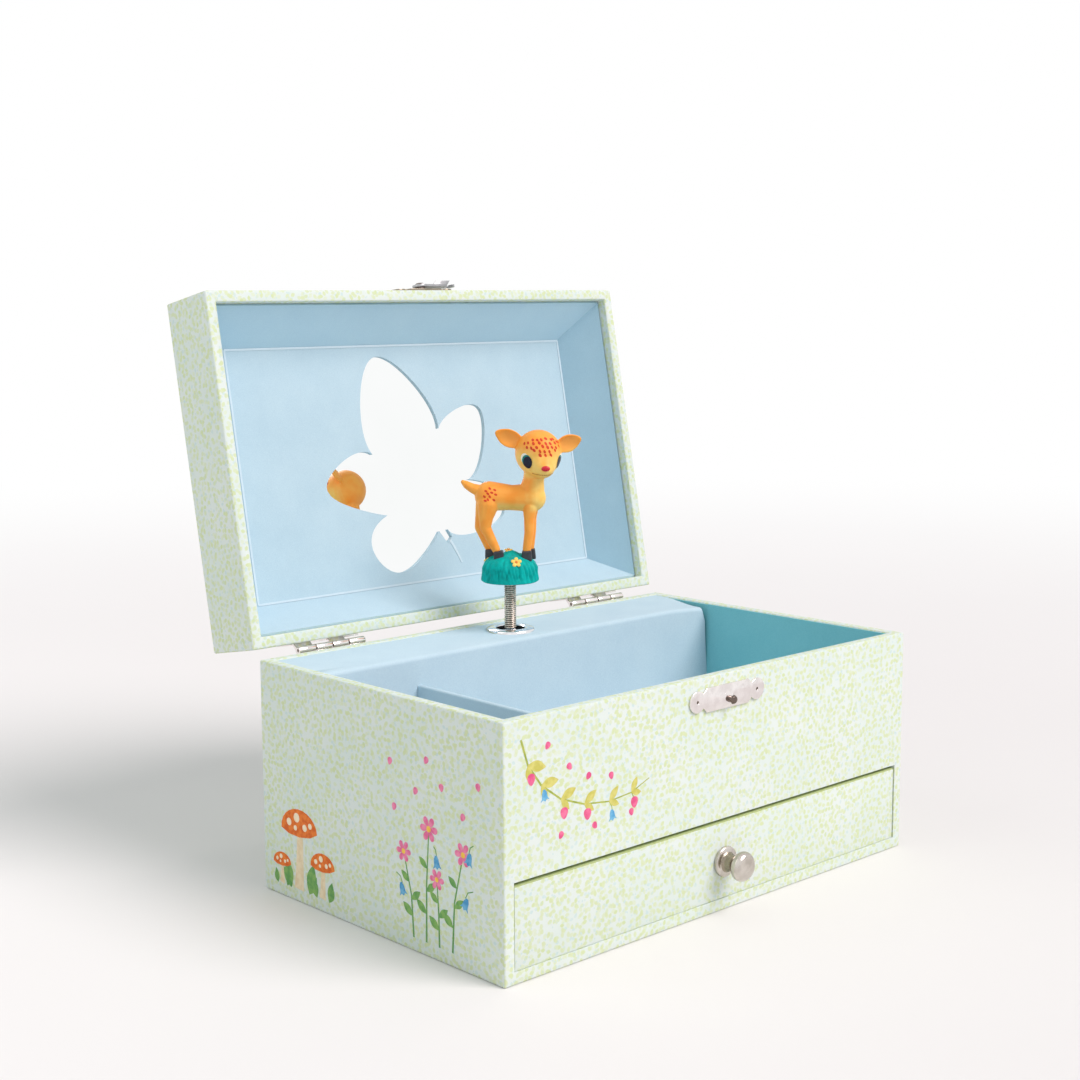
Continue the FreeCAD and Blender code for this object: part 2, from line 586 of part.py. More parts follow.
foot_rise = WIRE_BEND_R * math.cos(math.atan(SPRING_PITCH / (2 * math.pi * SPRING_R))) + 2 * WIRE_R
spring_start = SPRING_FOOT_Z + foot_rise
wire_edges = []
low_bend, low_run, low_tip = upright_end(helix_point(0), helix_way(0), -1)
wire_edges += [low_run, low_bend]
for half_turn in range(SPRING_TURNS * 2):
    a0 = half_turn * math.pi
    a1 = a0 + math.pi
    wire_edges += biarc(helix_point(a0), helix_way(a0), helix_point(a1), helix_way(a1))
last = SPRING_TURNS * 2 * math.pi
high_bend, high_run, high_tip = upright_end(helix_point(last), helix_way(last), 1)
wire_edges += [high_bend, high_run]
spring_path = Part.Wire(Part.__sortEdges__(wire_edges))
section_angles = [2 * math.pi * i / WIRE_SIDES for i in range(WIRE_SIDES + 1)]
wire_section = Part.makePolygon([low_tip + X * (WIRE_R * math.cos(a)) + Y * (WIRE_R * math.sin(a))
                                 for a in section_angles])
spring = Part.Solid(spring_path.makePipeShell([wire_section], True, False))
save(spring, "figure_spring")
path_points = spring_path.discretize(Distance=0.15)
step = spring_path.Length / (len(path_points) - 1)
skip = int(3 * math.pi * WIRE_R / step) + 6
least = min((p - q).Length for i, p in enumerate(path_points) for q in path_points[i + skip:])
print("spring least gap to itself: %.3f mm" % (least - 2 * WIRE_R))
section_area = WIRE_SIDES / 2 * WIRE_R ** 2 * math.sin(2 * math.pi / WIRE_SIDES)
print("spring volume over section times length: %.4f" % (spring.Volume / (section_area * spring_path.Length)))

# Grass mound: a domed base with a flat underside, carried by a steel peg inside the spring's top.
PEG_R = 1.7
PEG_Z = (105.0, 114.0)
MOUND_FOOT = 1.2
MOUND_TOP = 122.2
mound_edges = [
    line(at_axis(0, MOUND_BOTTOM), at_axis(MOUND_R, MOUND_BOTTOM)),
    line(at_axis(MOUND_R, MOUND_BOTTOM), at_axis(MOUND_R, MOUND_BOTTOM + MOUND_FOOT)),
    crown_arc(at_axis, MOUND_R, MOUND_BOTTOM + MOUND_FOOT, MOUND_TOP),
    line(at_axis(0, MOUND_TOP), at_axis(0, MOUND_BOTTOM))]
mound = turned(mound_edges, (0, AXIS_Y, 0), Z)
save(rod(PEG_R, at_axis(0, PEG_Z[0]), at_axis(0, PEG_Z[1])), "figure_peg")

# Fawn: drawn side-on, head to +X and facing -Y, then turned on the spindle's axis. Each limb is a
# chain of round sections, given by centre and radius.
BALLS = {"skull": ((11.9, 0, 163.2), 9.7), "muzzle tip": ((14.0, -8.6, 157.4), 3.4),
         "rump": ((-8.2, 0, 145.5), 6.2), "chest": ((9.1, 0, 144.7), 5.9)}
LIMBS = {"waist": [((-8.6, 0, 145.2), 5.6), ((9.4, 0, 144.7), 5.3)],
         "neck": [((8.7, 0, 143.5), 5.2), ((10.6, 0.3, 157.0), 4.4)],
         "muzzle": [((12.6, -2.8, 160.4), 7.2), ((14.0, -8.6, 157.4), 3.3)],
         "near foreleg": [((7.4, -2.8, 123.0), 1.85), ((8.0, -2.8, 133.0), 2.1), ((8.4, -2.4, 142.0), 3.1)],
         "far foreleg": [((8.4, 2.8, 123.0), 1.8), ((9.0, 2.8, 133.0), 2.0), ((9.2, 2.4, 142.0), 3.0)],
         "near hind leg": [((-5.4, -3.0, 123.0), 1.8), ((-9.9, -3.1, 132.6), 2.3), ((-9.2, -2.6, 143.0), 4.2)],
         "far hind leg": [((-8.4, 2.8, 123.0), 1.8), ((-12.2, 3.0, 132.2), 2.2), ((-9.9, 2.4, 143.0), 4.0)],
         "tail": [((-10.8, 0, 147.0), 2.6), ((-16.4, 0, 149.4), 1.6), ((-19.4, 0, 151.8), 0.6)]}
HOOF_FEET = [(7.4, -2.8), (8.4, 2.8), (-5.4, -3.0), (-8.4, 2.8)]
HOOF_R = (2.3, 1.95)
HOOF_Z = (117.0, 123.4)
EARS = [((5.8, 0, 167.4), (-5.6, -2.2, 172.8)), ((18.4, -0.6, 166.2), (29.6, 0.6, 169.6))]
EAR_W = 7.0
EAR_T = 2.2
EAR_WIDEST = 0.45
BEND = 1.05


def ball(centre, r):
    return Part.makeSphere(r, Vector(*centre))


def limb(stations):
    """Cones between round sections of given centre and radius, with a slightly larger ball at each bend."""
    shapes = [ball(p, r * BEND) for p, r in stations[1:-1]]
    for (p, r0), (q, r1) in zip(stations, stations[1:]):
        way = Vector(*q) - Vector(*p)
        shapes.append(Part.makeCone(r0, r1, way.Length, Vector(*p), way))
    return shapes


def ear(root, tip, width, thick):
    """A leaf-shaped ear between two arcs, from inside the head to its tip."""
    root = Vector(*root)
    tip = Vector(*tip)
    along = Vector(tip - root).normalize()
    across = along.cross(Vector(0, -1, 0)).normalize() * (width / 2)
    middle = root + (tip - root) * EAR_WIDEST
    edges = [Part.Arc(root, middle + across, tip).toShape(), Part.Arc(tip, middle - across, root).toShape()]
    return Part.Face(Part.Wire(edges)).extrude(Vector(0, thick, 0))


fawn_shapes = [ball(centre, r) for centre, r in BALLS.values()]
for stations in LIMBS.values():
    fawn_shapes += limb(stations)
for x, y in HOOF_FEET:
    fawn_shapes.append(Part.makeCone(*HOOF_R, HOOF_Z[1] - HOOF_Z[0], Vector(x, y, HOOF_Z[0])))
fawn_shapes += [ear(root, tip, EAR_W, EAR_T) for root, tip in EARS]
fawn = joined(fawn_shapes)
fawn.rotate(Vector(0, 0, 0), Z, FIGURE_TURN)
fawn.translate(Vector(0, AXIS_Y, 0))
save(fawn.cut(mound), "fawn")
peg_bore = rod(PEG_R + RUN, at_axis(0, MOUND_BOTTOM - PAST), at_axis(0, PEG_Z[1]))
save(mound.cut(peg_bore), "grass_mound")


# Toothed wheels: straight-sided teeth, thinner than the gaps they run in.
def wheel_face(teeth, root_r, tip_r, root_w, tip_w, centre, z, height, phase):
    points = []
    for i in range(teeth):
        middle = phase + 2 * math.pi * i / teeth
        for r, side in ((root_r, -root_w), (tip_r, -tip_w), (tip_r, tip_w), (root_r, root_w)):
            angle = middle + side / 2 / r
            points.append((centre[0] + r * math.cos(angle), centre[1] + r * math.sin(angle), z))
    return prism(points, (0, 0, height))


crown_r = CROWN_TEETH * CROWN_MODULE / 2
wheel_r = WHEEL_TEETH * WHEEL_MODULE / 2
governor_r = GOVERNOR_TEETH * WHEEL_MODULE / 2
pinion_z = BARREL_Z + crown_r

# Mainspring barrel: a cup behind a disc whose rim carries the crown teeth, turning on the winding stem.
CROWN_ROOT_Y = AXIS_Y + 3.2
CROWN_TIP_Y = AXIS_Y + 2.25
CROWN_RIM = 0.7
CROWN_TOOTH_R = (crown_r - 1.1, crown_r + 0.6)
CROWN_TOOTH_HALF = (0.3, 0.16)
DISC_T = 1.5
BARREL_R = 10.4
BARREL_IN_R = 9.6
HUB_R = 3.2
STEM_R = 1.8
CUP_Y = (CROWN_ROOT_Y + DISC_T, 61.4)


def on_barrel(y):
    return (0, y, BARREL_Z)


disc = rod(crown_r + CROWN_RIM, on_barrel(CROWN_ROOT_Y), on_barrel(CUP_Y[0]))
cup = rod(BARREL_R, on_barrel(CUP_Y[0]), on_barrel(CUP_Y[1]))
cup = cup.cut(rod(BARREL_IN_R, on_barrel(CUP_Y[0]), on_barrel(CUP_Y[1])))
hub = rod(HUB_R, on_barrel(CUP_Y[0]), on_barrel(CUP_Y[1]))
tooth_z = BARREL_Z + CROWN_TOOTH_R[0]
root, tip = CROWN_TOOTH_HALF
tooth = prism([(-root, CROWN_ROOT_Y, tooth_z), (-tip, CROWN_TIP_Y, tooth_z), (tip, CROWN_TIP_Y, tooth_z),
               (root, CROWN_ROOT_Y, tooth_z)], (0, 0, CROWN_TOOTH_R[1] - CROWN_TOOTH_R[0]))
crown = []
for i in range(CROWN_TEETH):
    copy = tooth.copy()
    copy.rotate(Vector(0, 0, BARREL_Z), Y, 360.0 * (i + 0.5) / CROWN_TEETH)
    crown.append(copy)
barrel = joined([disc, cup, hub] + crown)
stem_bore = rod(STEM_R + RUN, on_barrel(CROWN_ROOT_Y - PAST), on_barrel(CUP_Y[1] + PAST))
save(barrel.cut(stem_bore), "mainspring_barrel")

# Mainspring: a flat strip wound in half circles from the hub out to the barrel's wall.
STRIP = 0.4
STRIP_TURNS = 4
STRIP_CLEAR = (0.4, 0.6)
STRIP_Y = (CUP_Y[0] + STRIP_CLEAR[0], CUP_Y[1] - STRIP_CLEAR[1])
strip_step = (BARREL_IN_R - HUB_R - STRIP) / (2 * STRIP_TURNS)


def strip_side(extra):
    """Half circles on two centres in turn, each wider than the last by one step."""
    edges = []
    for half in range(2 * STRIP_TURNS):
        side = 1 if half % 2 == 0 else -1
        middle = 0 if side > 0 else strip_step
        r = HUB_R + half * strip_step + extra
        edges.append(arc((middle + r * side, STRIP_Y[0], BARREL_Z), (middle, STRIP_Y[0], BARREL_Z + r * side),
                         (middle - r * side, STRIP_Y[0], BARREL_Z)))
    return edges


near = strip_side(0)
far = strip_side(STRIP)
caps = [Part.makeLine(near[0].Vertexes[0].Point, far[0].Vertexes[0].Point),
        Part.makeLine(near[-1].Vertexes[-1].Point, far[-1].Vertexes[-1].Point)]
strip_wire = Part.Wire(Part.__sortEdges__(near + far + caps))
save(Part.Face(strip_wire).extrude(Vector(0, STRIP_Y[1] - STRIP_Y[0], 0)), "mainspring")

# Winding key: a stem through the back board with a flat two-winged bow.
BOW_Y = (76.0, 90.0)
BOW_HALF = 11.0
BOW_T = 1.6
COLLAR_R = 3.0
COLLAR_GAP = 0.5
COLLAR_LAP = 2.0
stem = rod(STEM_R, on_barrel(CROWN_ROOT_Y), on_barrel(BOW_Y[0]))
collar = rod(COLLAR_R, on_barrel(HALF_D + COLLAR_GAP), on_barrel(BOW_Y[0] + COLLAR_LAP))
wings = []
wing_r = (BOW_Y[1] - BOW_Y[0]) / 2
wing_y = BOW_Y[0] + wing_r
for sx in (-1, 1):
    wing_x = sx * (BOW_HALF - wing_r)
    wings.append(rod(wing_r, (wing_x, wing_y, BARREL_Z - BOW_T / 2), (wing_x, wing_y, BARREL_Z + BOW_T / 2)))
save(joined([stem, collar] + wings), "winding_key")

# Pinned cylinder: its pinion runs on the crown teeth and its wheel drives the governor.
PIN_OUT = 0.5
PIN_ROOT = 0.5
PIN_W = 0.36
TUNE_START = 0.09
TUNE_BEAT = 0.31
TUNE_STEP = 0.137
DRUM_MARGIN = 0.5
ARBOR_R = 1.0
PINION_R = (1.95, 2.85)
PINION_TOOTH_W = (0.6, 0.32)
PINION_H = 2.4
WHEEL_Z = (63.6, 64.8)
TOOTH_IN = 0.5
TOOTH_OUT = 0.35
WHEEL_TOOTH_W = (0.55, 0.3)
SLEEVE_R = 1.9
SPINDLE_FOOT = 56.4
CUP_BOTTOM = 87.0
toward_governor = math.atan2(GOVERNOR_Y - AXIS_Y, GOVERNOR_X)
comb_pitch = (CYLINDER_Z[1] - CYLINDER_Z[0] - 2 * DRUM_MARGIN) / COMB_TEETH
axis_xy = (0, AXIS_Y)


def note_z(number):
    return CYLINDER_Z[0] + DRUM_MARGIN + (number + 0.5) * comb_pitch


pinion = wheel_face(PINION_TEETH, *PINION_R, *PINION_TOOTH_W, axis_xy, pinion_z - PINION_H / 2, PINION_H,
                    math.pi / 2)
wheel = wheel_face(WHEEL_TEETH, wheel_r - TOOTH_IN, wheel_r + TOOTH_OUT, *WHEEL_TOOTH_W, axis_xy, WHEEL_Z[0],
                   WHEEL_Z[1] - WHEEL_Z[0], toward_governor)
sleeve = rod(SLEEVE_R, at_axis(0, pinion_z + PINION_H / 2), at_axis(0, CYLINDER_Z[0]))
drum = rod(CYLINDER_R, at_axis(0, CYLINDER_Z[0]), at_axis(0, CYLINDER_Z[1]))
tune = []
for note in range(COMB_TEETH):
    z = note_z(note)
    for beat in range(2):
        turn = TUNE_START + TUNE_BEAT * beat + TUNE_STEP * note * (1 + beat)
        peg = box(CYLINDER_R - PIN_ROOT, CYLINDER_R + PIN_OUT, AXIS_Y - PIN_W / 2, AXIS_Y + PIN_W / 2,
                  z - PIN_W / 2, z + PIN_W / 2)
        peg.rotate(Vector(0, AXIS_Y, 0), Z, 360.0 * turn)
        tune.append(peg)
cylinder = joined([pinion, wheel, sleeve, drum] + tune)
arbor_bore = rod(ARBOR_R + RUN, at_axis(0, SPINDLE_FOOT), at_axis(0, CUP_BOTTOM))
save(cylinder.cut(arbor_bore), "pinned_cylinder")

# Dancer spindle: the cylinder's arbor carried up through the housing to a dished cup under the spring.
CUP_R = 2.5
DISH_R = 5.08
dish = Part.makeSphere(DISH_R, Vector(0, AXIS_Y, FOLD_Z))
spindle_cup = rod(CUP_R, at_axis(0, CUP_BOTTOM), at_axis(0, SPRING_FOOT_Z)).cut(dish)
spindle_arbor = rod(ARBOR_R, at_axis(0, SPINDLE_FOOT), at_axis(0, CUP_BOTTOM))
save(spindle_cup.fuse(spindle_arbor), "dancer_spindle")

# Bedplate: a cast plate on the back board with the comb's rest standing forward from it.
PLATE_X = (-30.0, 22.0)
PLATE_Y = 62.5
PLATE_Z = (41.0, 86.0)
PLATE_ROUND = 3.0
STEM_CLEAR = 0.4
COMB_Y = (48.0, 49.0)
COMB_X = (-29.0, -20.0)
COMB_MARGIN = 0.5
COMB_SCREW_Z = (69.0, 78.0)
COMB_SCREW_X = -24.5
COMB_SCREW_R = 1.0
COMB_SCREW_DEEP = 4.5
COMB_HOLE_DEEP = 5.0
comb_z = (CYLINDER_Z[0] - COMB_MARGIN, CYLINDER_Z[1] + COMB_MARGIN)
bedplate = box(*PLATE_X, PLATE_Y, IN_Y, *PLATE_Z)
corners = [e for e in bedplate.Edges if abs(e.tangentAt(0).y) > 0.9]
bedplate = joined([bedplate.makeFillet(PLATE_ROUND, corners), box(*COMB_X, COMB_Y[1], PLATE_Y, *comb_z)])
bedplate = bedplate.cut(rod(STEM_R + STEM_CLEAR, on_barrel(PLATE_Y - PAST), on_barrel(IN_Y + PAST)))
for x, z in SCREW_PLACES:
    bedplate = bedplate.cut(rod(SCREW_R + RUN, (x, PLATE_Y - PAST, z), (x, IN_Y + PAST, z)))
hole_y = (COMB_Y[0] - PAST, COMB_Y[1] + COMB_HOLE_DEEP)
comb_holes = [rod(COMB_SCREW_R + RUN, (COMB_SCREW_X, hole_y[0], z), (COMB_SCREW_X, hole_y[1], z))
              for z in COMB_SCREW_Z]
for hole in comb_holes:
    bedplate = bedplate.cut(hole)
save(bedplate, "movement_bedplate")
MOUNT_HEAD_R = (2.6, 1.7)
MOUNT_HEAD = 1.3
MOUNT_SHORT = 0.3
mount_screws = []
for x, z in SCREW_PLACES:
    shank = rod(SCREW_R, (x, PLATE_Y + MOUNT_SHORT, z), (x, HALF_D, z))
    mount_screws.append(shank.fuse(Part.makeCone(*MOUNT_HEAD_R, MOUNT_HEAD, Vector(x, HALF_D, z), Y)))
save(group(mount_screws), "movement_screws")

# Comb: eighteen steel tongues cut in one plate, each root a step further out than the last.
TONGUE_HALF = (0.36, 0.2)
TONGUE_GAP = 0.15
TONGUE_LAP = 0.5
ROOT_SPREAD = 3.0
COMB_HEAD_R = 1.9
COMB_HEAD = 1.2
tongue_tip = -(CYLINDER_R + PIN_OUT + TONGUE_GAP)
tongue_root = COMB_X[1] - TONGUE_LAP
root, tip = TONGUE_HALF
comb_shapes = [box(*COMB_X, *COMB_Y, *comb_z)]
for note in range(COMB_TEETH):
    z = note_z(note)
    comb_shapes.append(prism([(tongue_root, COMB_Y[0], z - root), (tongue_tip, COMB_Y[0], z - tip),
                              (tongue_tip, COMB_Y[0], z + tip), (tongue_root, COMB_Y[0], z + root)],
                             (0, COMB_Y[1] - COMB_Y[0], 0)))
    step_x = COMB_X[1] + ROOT_SPREAD * note / COMB_TEETH
    comb_shapes.append(box(tongue_root, step_x, *COMB_Y, z - comb_pitch / 2, z + comb_pitch / 2))
comb = joined(comb_shapes)
for hole in comb_holes:
    comb = comb.cut(hole)
save(comb, "comb")
comb_screws = []
for z in COMB_SCREW_Z:
    shank = rod(COMB_SCREW_R, (COMB_SCREW_X, COMB_Y[0], z), (COMB_SCREW_X, COMB_Y[1] + COMB_SCREW_DEEP, z))
    head = rod(COMB_HEAD_R, (COMB_SCREW_X, COMB_Y[0] - COMB_HEAD, z), (COMB_SCREW_X, COMB_Y[0], z))
    comb_screws.append(shank.fuse(head))
save(group(comb_screws), "comb_screws")

# Bearing bracket: a bent strip beside the cylinder with an arm at each end of the spindle.
ARM_X = (-3.0, 12.5)
ARM_Z = ((57.0, 58.6), (83.2, 84.8))
ARM_FRONT = AXIS_Y - 4.0
LOW_ARM_BACK = AXIS_Y + 1.7
BRACKET_X = (12.0, 13.6)
wall = box(*BRACKET_X, ARM_FRONT, PLATE_Y, ARM_Z[0][0], ARM_Z[1][1])
arms = [box(*ARM_X, ARM_FRONT, LOW_ARM_BACK, *ARM_Z[0]), box(*ARM_X, ARM_FRONT, PLATE_Y, *ARM_Z[1])]
save(joined([wall] + arms).cut(arbor_bore), "bearing_bracket")

# Governor bracket: two arms for the wheel's upright arbor and two tabs for the fan's shaft.
PIVOT_R = 0.6
GOV_ARM_Z = ((49.0, 50.2), (61.6, 62.6))
WALL_X = (-21.5, -20.5)
ARM_PLAN = [(WALL_X[0], PLATE_Y), (-11.4, PLATE_Y), (-11.4, 49.6), (-7.6, 47.2), (-7.6, 42.4),
            (WALL_X[0], 42.4)]
TABS_Y = ((38.6, 39.6), (60.6, 61.6))
TAB_HALF = 2.0
governor_shapes = [box(*WALL_X, TABS_Y[0][0], PLATE_Y, GOV_ARM_Z[0][0], GOV_ARM_Z[1][1])]
for z0, z1 in GOV_ARM_Z:
    governor_shapes.append(prism([(x, y, z0) for x, y in ARM_PLAN], (0, 0, z1 - z0)))
for y0, y1 in TABS_Y:
    governor_shapes.append(box(WALL_X[0], WORM_X + TAB_HALF, y0, y1, WORM_Z - TAB_HALF, WORM_Z + TAB_HALF))
governor_bracket = joined(governor_shapes)
gov_xy = (GOVERNOR_X, GOVERNOR_Y)
governor_bore = rod(PIVOT_R + RUN, (*gov_xy, GOV_ARM_Z[0][0] - PAST), (*gov_xy, GOV_ARM_Z[1][1] + PAST))
fan_bore = rod(PIVOT_R + RUN, (WORM_X, TABS_Y[0][0] - PAST, WORM_Z), (WORM_X, TABS_Y[1][1] + PAST, WORM_Z))
save(governor_bracket.cut(governor_bore).cut(fan_bore), "governor_bracket")

# Governor wheel: a pinion under the cylinder's wheel and a worm wheel on one upright arbor.
GOV_WHEEL_Z = (54.2, 55.8)
GOV_TOOTH_W = (0.5, 0.3)
GOV_OVERLAP = 0.2
WORM_WHEEL_R = (3.4, 4.0)
WORM_TOOTH_W = (0.6, 0.3)
half_tooth = math.pi / GOVERNOR_TEETH
gov_pinion = wheel_face(GOVERNOR_TEETH, governor_r - TOOTH_IN, governor_r + TOOTH_OUT, *GOV_TOOTH_W, gov_xy,
                        WHEEL_Z[0] - GOV_OVERLAP, WHEEL_Z[1] - WHEEL_Z[0] + 2 * GOV_OVERLAP,
                        toward_governor + math.pi + half_tooth)
worm_wheel = wheel_face(WORM_WHEEL_TEETH, *WORM_WHEEL_R, *WORM_TOOTH_W, gov_xy, GOV_WHEEL_Z[0],
                        GOV_WHEEL_Z[1] - GOV_WHEEL_Z[0], 0)
gov_arbor = rod(PIVOT_R, (*gov_xy, GOV_ARM_Z[0][0]), (*gov_xy, WHEEL_Z[0]))
save(joined([gov_pinion, worm_wheel, gov_arbor]), "governor_wheel")

# Worm and fan: the fast last shaft, with a ridged worm and two air vanes.
SHAFT_Y = (38.9, 61.3)
WORM_RIDGES = 4
RIDGE_STEP = 1.3
RIDGE_R = (0.8, 1.3)
VANE_Y = (52.0, 58.5)
VANE_R = 3.9
VANE_T = 0.4
fan_shapes = [rod(PIVOT_R, (WORM_X, SHAFT_Y[0], WORM_Z), (WORM_X, SHAFT_Y[1], WORM_Z))]
valley, crest = RIDGE_R
for i in range(WORM_RIDGES):
    peak = Vector(WORM_X, GOVERNOR_Y + (i - (WORM_RIDGES - 1) / 2) * RIDGE_STEP, WORM_Z)
    fan_shapes.append(Part.makeCone(valley, crest, RIDGE_STEP / 2, peak - Y * (RIDGE_STEP / 2), Y))
    fan_shapes.append(Part.makeCone(crest, valley, RIDGE_STEP / 2, peak, Y))
vane_z = (WORM_Z - VANE_T / 2, WORM_Z + VANE_T / 2)
fan_shapes.append(box(WORM_X - VANE_R, WORM_X + VANE_R, *VANE_Y, *vane_z))
save(joined(fan_shapes), "worm_fan")
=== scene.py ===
import bmesh
import bpy
import random
from math import atan2, cos, degrees, exp, hypot, pi, radians, sin
from mathutils import Matrix, Vector


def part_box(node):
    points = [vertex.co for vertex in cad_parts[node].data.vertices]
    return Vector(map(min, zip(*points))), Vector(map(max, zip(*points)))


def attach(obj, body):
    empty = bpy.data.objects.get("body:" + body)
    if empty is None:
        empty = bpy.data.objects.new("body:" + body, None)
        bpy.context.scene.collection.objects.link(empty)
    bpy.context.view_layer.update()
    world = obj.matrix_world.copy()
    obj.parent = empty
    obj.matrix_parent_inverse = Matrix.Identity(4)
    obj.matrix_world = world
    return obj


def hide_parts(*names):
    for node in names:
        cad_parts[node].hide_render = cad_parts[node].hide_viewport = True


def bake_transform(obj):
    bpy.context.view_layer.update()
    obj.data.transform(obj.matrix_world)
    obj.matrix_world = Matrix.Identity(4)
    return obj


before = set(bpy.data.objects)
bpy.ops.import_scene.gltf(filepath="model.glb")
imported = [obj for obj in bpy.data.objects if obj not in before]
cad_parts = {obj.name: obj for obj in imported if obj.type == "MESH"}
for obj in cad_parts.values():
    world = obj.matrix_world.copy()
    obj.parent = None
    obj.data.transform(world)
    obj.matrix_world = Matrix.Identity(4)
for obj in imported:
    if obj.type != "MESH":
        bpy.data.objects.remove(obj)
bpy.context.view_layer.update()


# Case: greyboard sides, front, back, base and shelf glued into one open box and covered with
# printed paper that is drawn over the corners and turned in over the rim. The bay below the
# shelf is open at the front for the drawer, and the back has holes for the key and screws.
mm = 0.001
CASE_HALF = Vector((110 * mm, 69.5 * mm, 0))
LEFT_FACE = -109.85 * mm  # leaves room for the print on it
CASE_TALL = 90 * mm
BOARD = 4.5 * mm
CORNER = 0.7  # its radius, in millimetres
SHELF_TOP = 39.3 * mm
BAY_TOP = 35.3 * mm
KEY_HOLE, SCREW_HOLE = 4.0, 1.35
BACK_HOLES = [((0, 52), KEY_HOLE), ((-24, 46), SCREW_HOLE), ((17, 46), SCREW_HOLE), ((17, 80), SCREW_HOLE)]
BACK_MIDDLE = 67 * mm


def clear_selection():
    bpy.ops.object.select_all(action="DESELECT")


def take(piece):
    """Select a piece alone and make it the active one."""
    clear_selection()
    piece.select_set(True)
    bpy.context.view_layer.objects.active = piece


def settle():
    """Put the place, turn and size of what is selected into its mesh."""
    bpy.ops.object.transform_apply(location=True, rotation=True, scale=True)


def mode(kind):
    bpy.ops.object.mode_set(mode=kind)


def select_mesh():
    bpy.ops.mesh.select_all(action="SELECT")


def extrude(way):
    bpy.ops.mesh.extrude_region_move(TRANSFORM_OT_translate={"value": way})


def smooth(angle):
    """Shade the selected piece smoothly, apart from edges sharper than an angle in degrees."""
    bpy.ops.object.shade_smooth_by_angle(angle=radians(angle))


def start_box(name, low, high):
    """Add a box between two corners, alone in the selection, with its place in its mesh."""
    clear_selection()
    low, high = Vector(low), Vector(high)
    bpy.ops.mesh.primitive_cube_add(size=1, location=(low + high) / 2, scale=high - low)
    piece = bpy.context.object
    piece.name = name
    settle()
    return piece


def pick(test, part="faces"):
    """Select the faces or edges in edit mode whose middle and direction pass the test."""
    bpy.ops.mesh.select_mode(type="FACE" if part == "faces" else "EDGE")
    bpy.ops.mesh.select_all(action="DESELECT")
    work = bmesh.from_edit_mesh(bpy.context.edit_object.data)
    work.normal_update()
    for bit in getattr(work, part):
        if part == "faces":
            bit.select_set(test(bit.calc_center_median(), bit.normal))
        else:
            a, b = bit.verts[0].co, bit.verts[1].co
            bit.select_set(test((a + b) / 2, (b - a).normalized()))
    work.select_flush_mode()
    bmesh.update_edit_mesh(bpy.context.edit_object.data)


def near(a, b):
    return abs(a - b) < 0.02 * mm


def use_modifier(piece, kind, **settings):
    """Add a modifier to the piece and apply it."""
    take(piece)
    made = piece.modifiers.new(kind.lower(), kind)
    for key, value in settings.items():
        setattr(made, key, value)
    bpy.ops.object.modifier_apply(modifier=made.name)


def round_edges(piece, width, segments):
    """Round the sharp edges of a piece by a width in millimetres."""
    use_modifier(piece, "BEVEL", width=width * mm, segments=segments, limit_method="ANGLE",
                 angle_limit=radians(40))


def add_node(tree, kind, inputs=None, **settings):
    """Add a shader node; an input is either a plain value or another node's output socket."""
    made = tree.nodes.new(kind)
    for key, value in settings.items():
        setattr(made, key, value)
    for socket, value in (inputs or {}).items():
        if isinstance(value, bpy.types.NodeSocket):
            tree.links.new(value, made.inputs[socket])
        else:
            made.inputs[socket].default_value = value
    return made


def new_finish(name, **constants):
    """A material with one shader, whose constants are set on the shader's own sockets."""
    finish = bpy.data.materials.new(name)
    finish.use_nodes = True
    shader = finish.node_tree.nodes["Principled BSDF"]
    for socket, value in constants.items():
        shader.inputs[socket.replace("_", " ")].default_value = value
    return finish, finish.node_tree, shader


def dress(piece, *finishes):
    """Give a piece its finishes, in place of any that it has."""
    piece.data.materials.clear()
    for finish in finishes:
        piece.data.materials.append(finish)


def srgb(red, green, blue):
    """A paint colour given as screen values from 0 to 255."""
    def straight(c):
        c /= 255
        return c / 12.92 if c <= 0.04045 else ((c + 0.055) / 1.055) ** 2.4
    return (straight(red), straight(green), straight(blue), 1)


def math_node(tree, operation, a, b=None):
    inputs = {0: a} if b is None else {0: a, 1: b}
    return add_node(tree, "ShaderNodeMath", inputs, operation=operation).outputs[0]


def blend_colour(tree, factor, *colours):
    """Mix two colours, given as screen values or by a node, by a factor that varies over the surface."""
    a, b = [c if isinstance(c, bpy.types.NodeSocket) else srgb(*c) for c in colours]
    return add_node(tree, "ShaderNodeMix", {0: factor, 6: a, 7: b}, data_type="RGBA").outputs[2]


def noise(tree, place, scale, detail):
    made = add_node(tree, "ShaderNodeTexNoise", {"Vector": place, "Scale": scale, "Detail": detail})
    return made.outputs[0]


def feed(shader, socket, value):
    shader.id_data.links.new(value, shader.inputs[socket])


def bump(tree, shader, height, strength, distance):
    """Let a pattern stand off the surface by a distance in millimetres."""
    made = add_node(tree, "ShaderNodeBump", {"Height": height, "Strength": strength,
                                             "Distance": distance * mm})
    feed(shader, "Normal", made.outputs[0])


def ramp(tree, value, low, high, start=0.0, end=1.0):
    return add_node(tree, "ShaderNodeMapRange", {0: value, 1: low, 2: high, 3: start, 4: end},
                    interpolation_type="SMOOTHSTEP").outputs[0]


FULL_TURN = 6.283


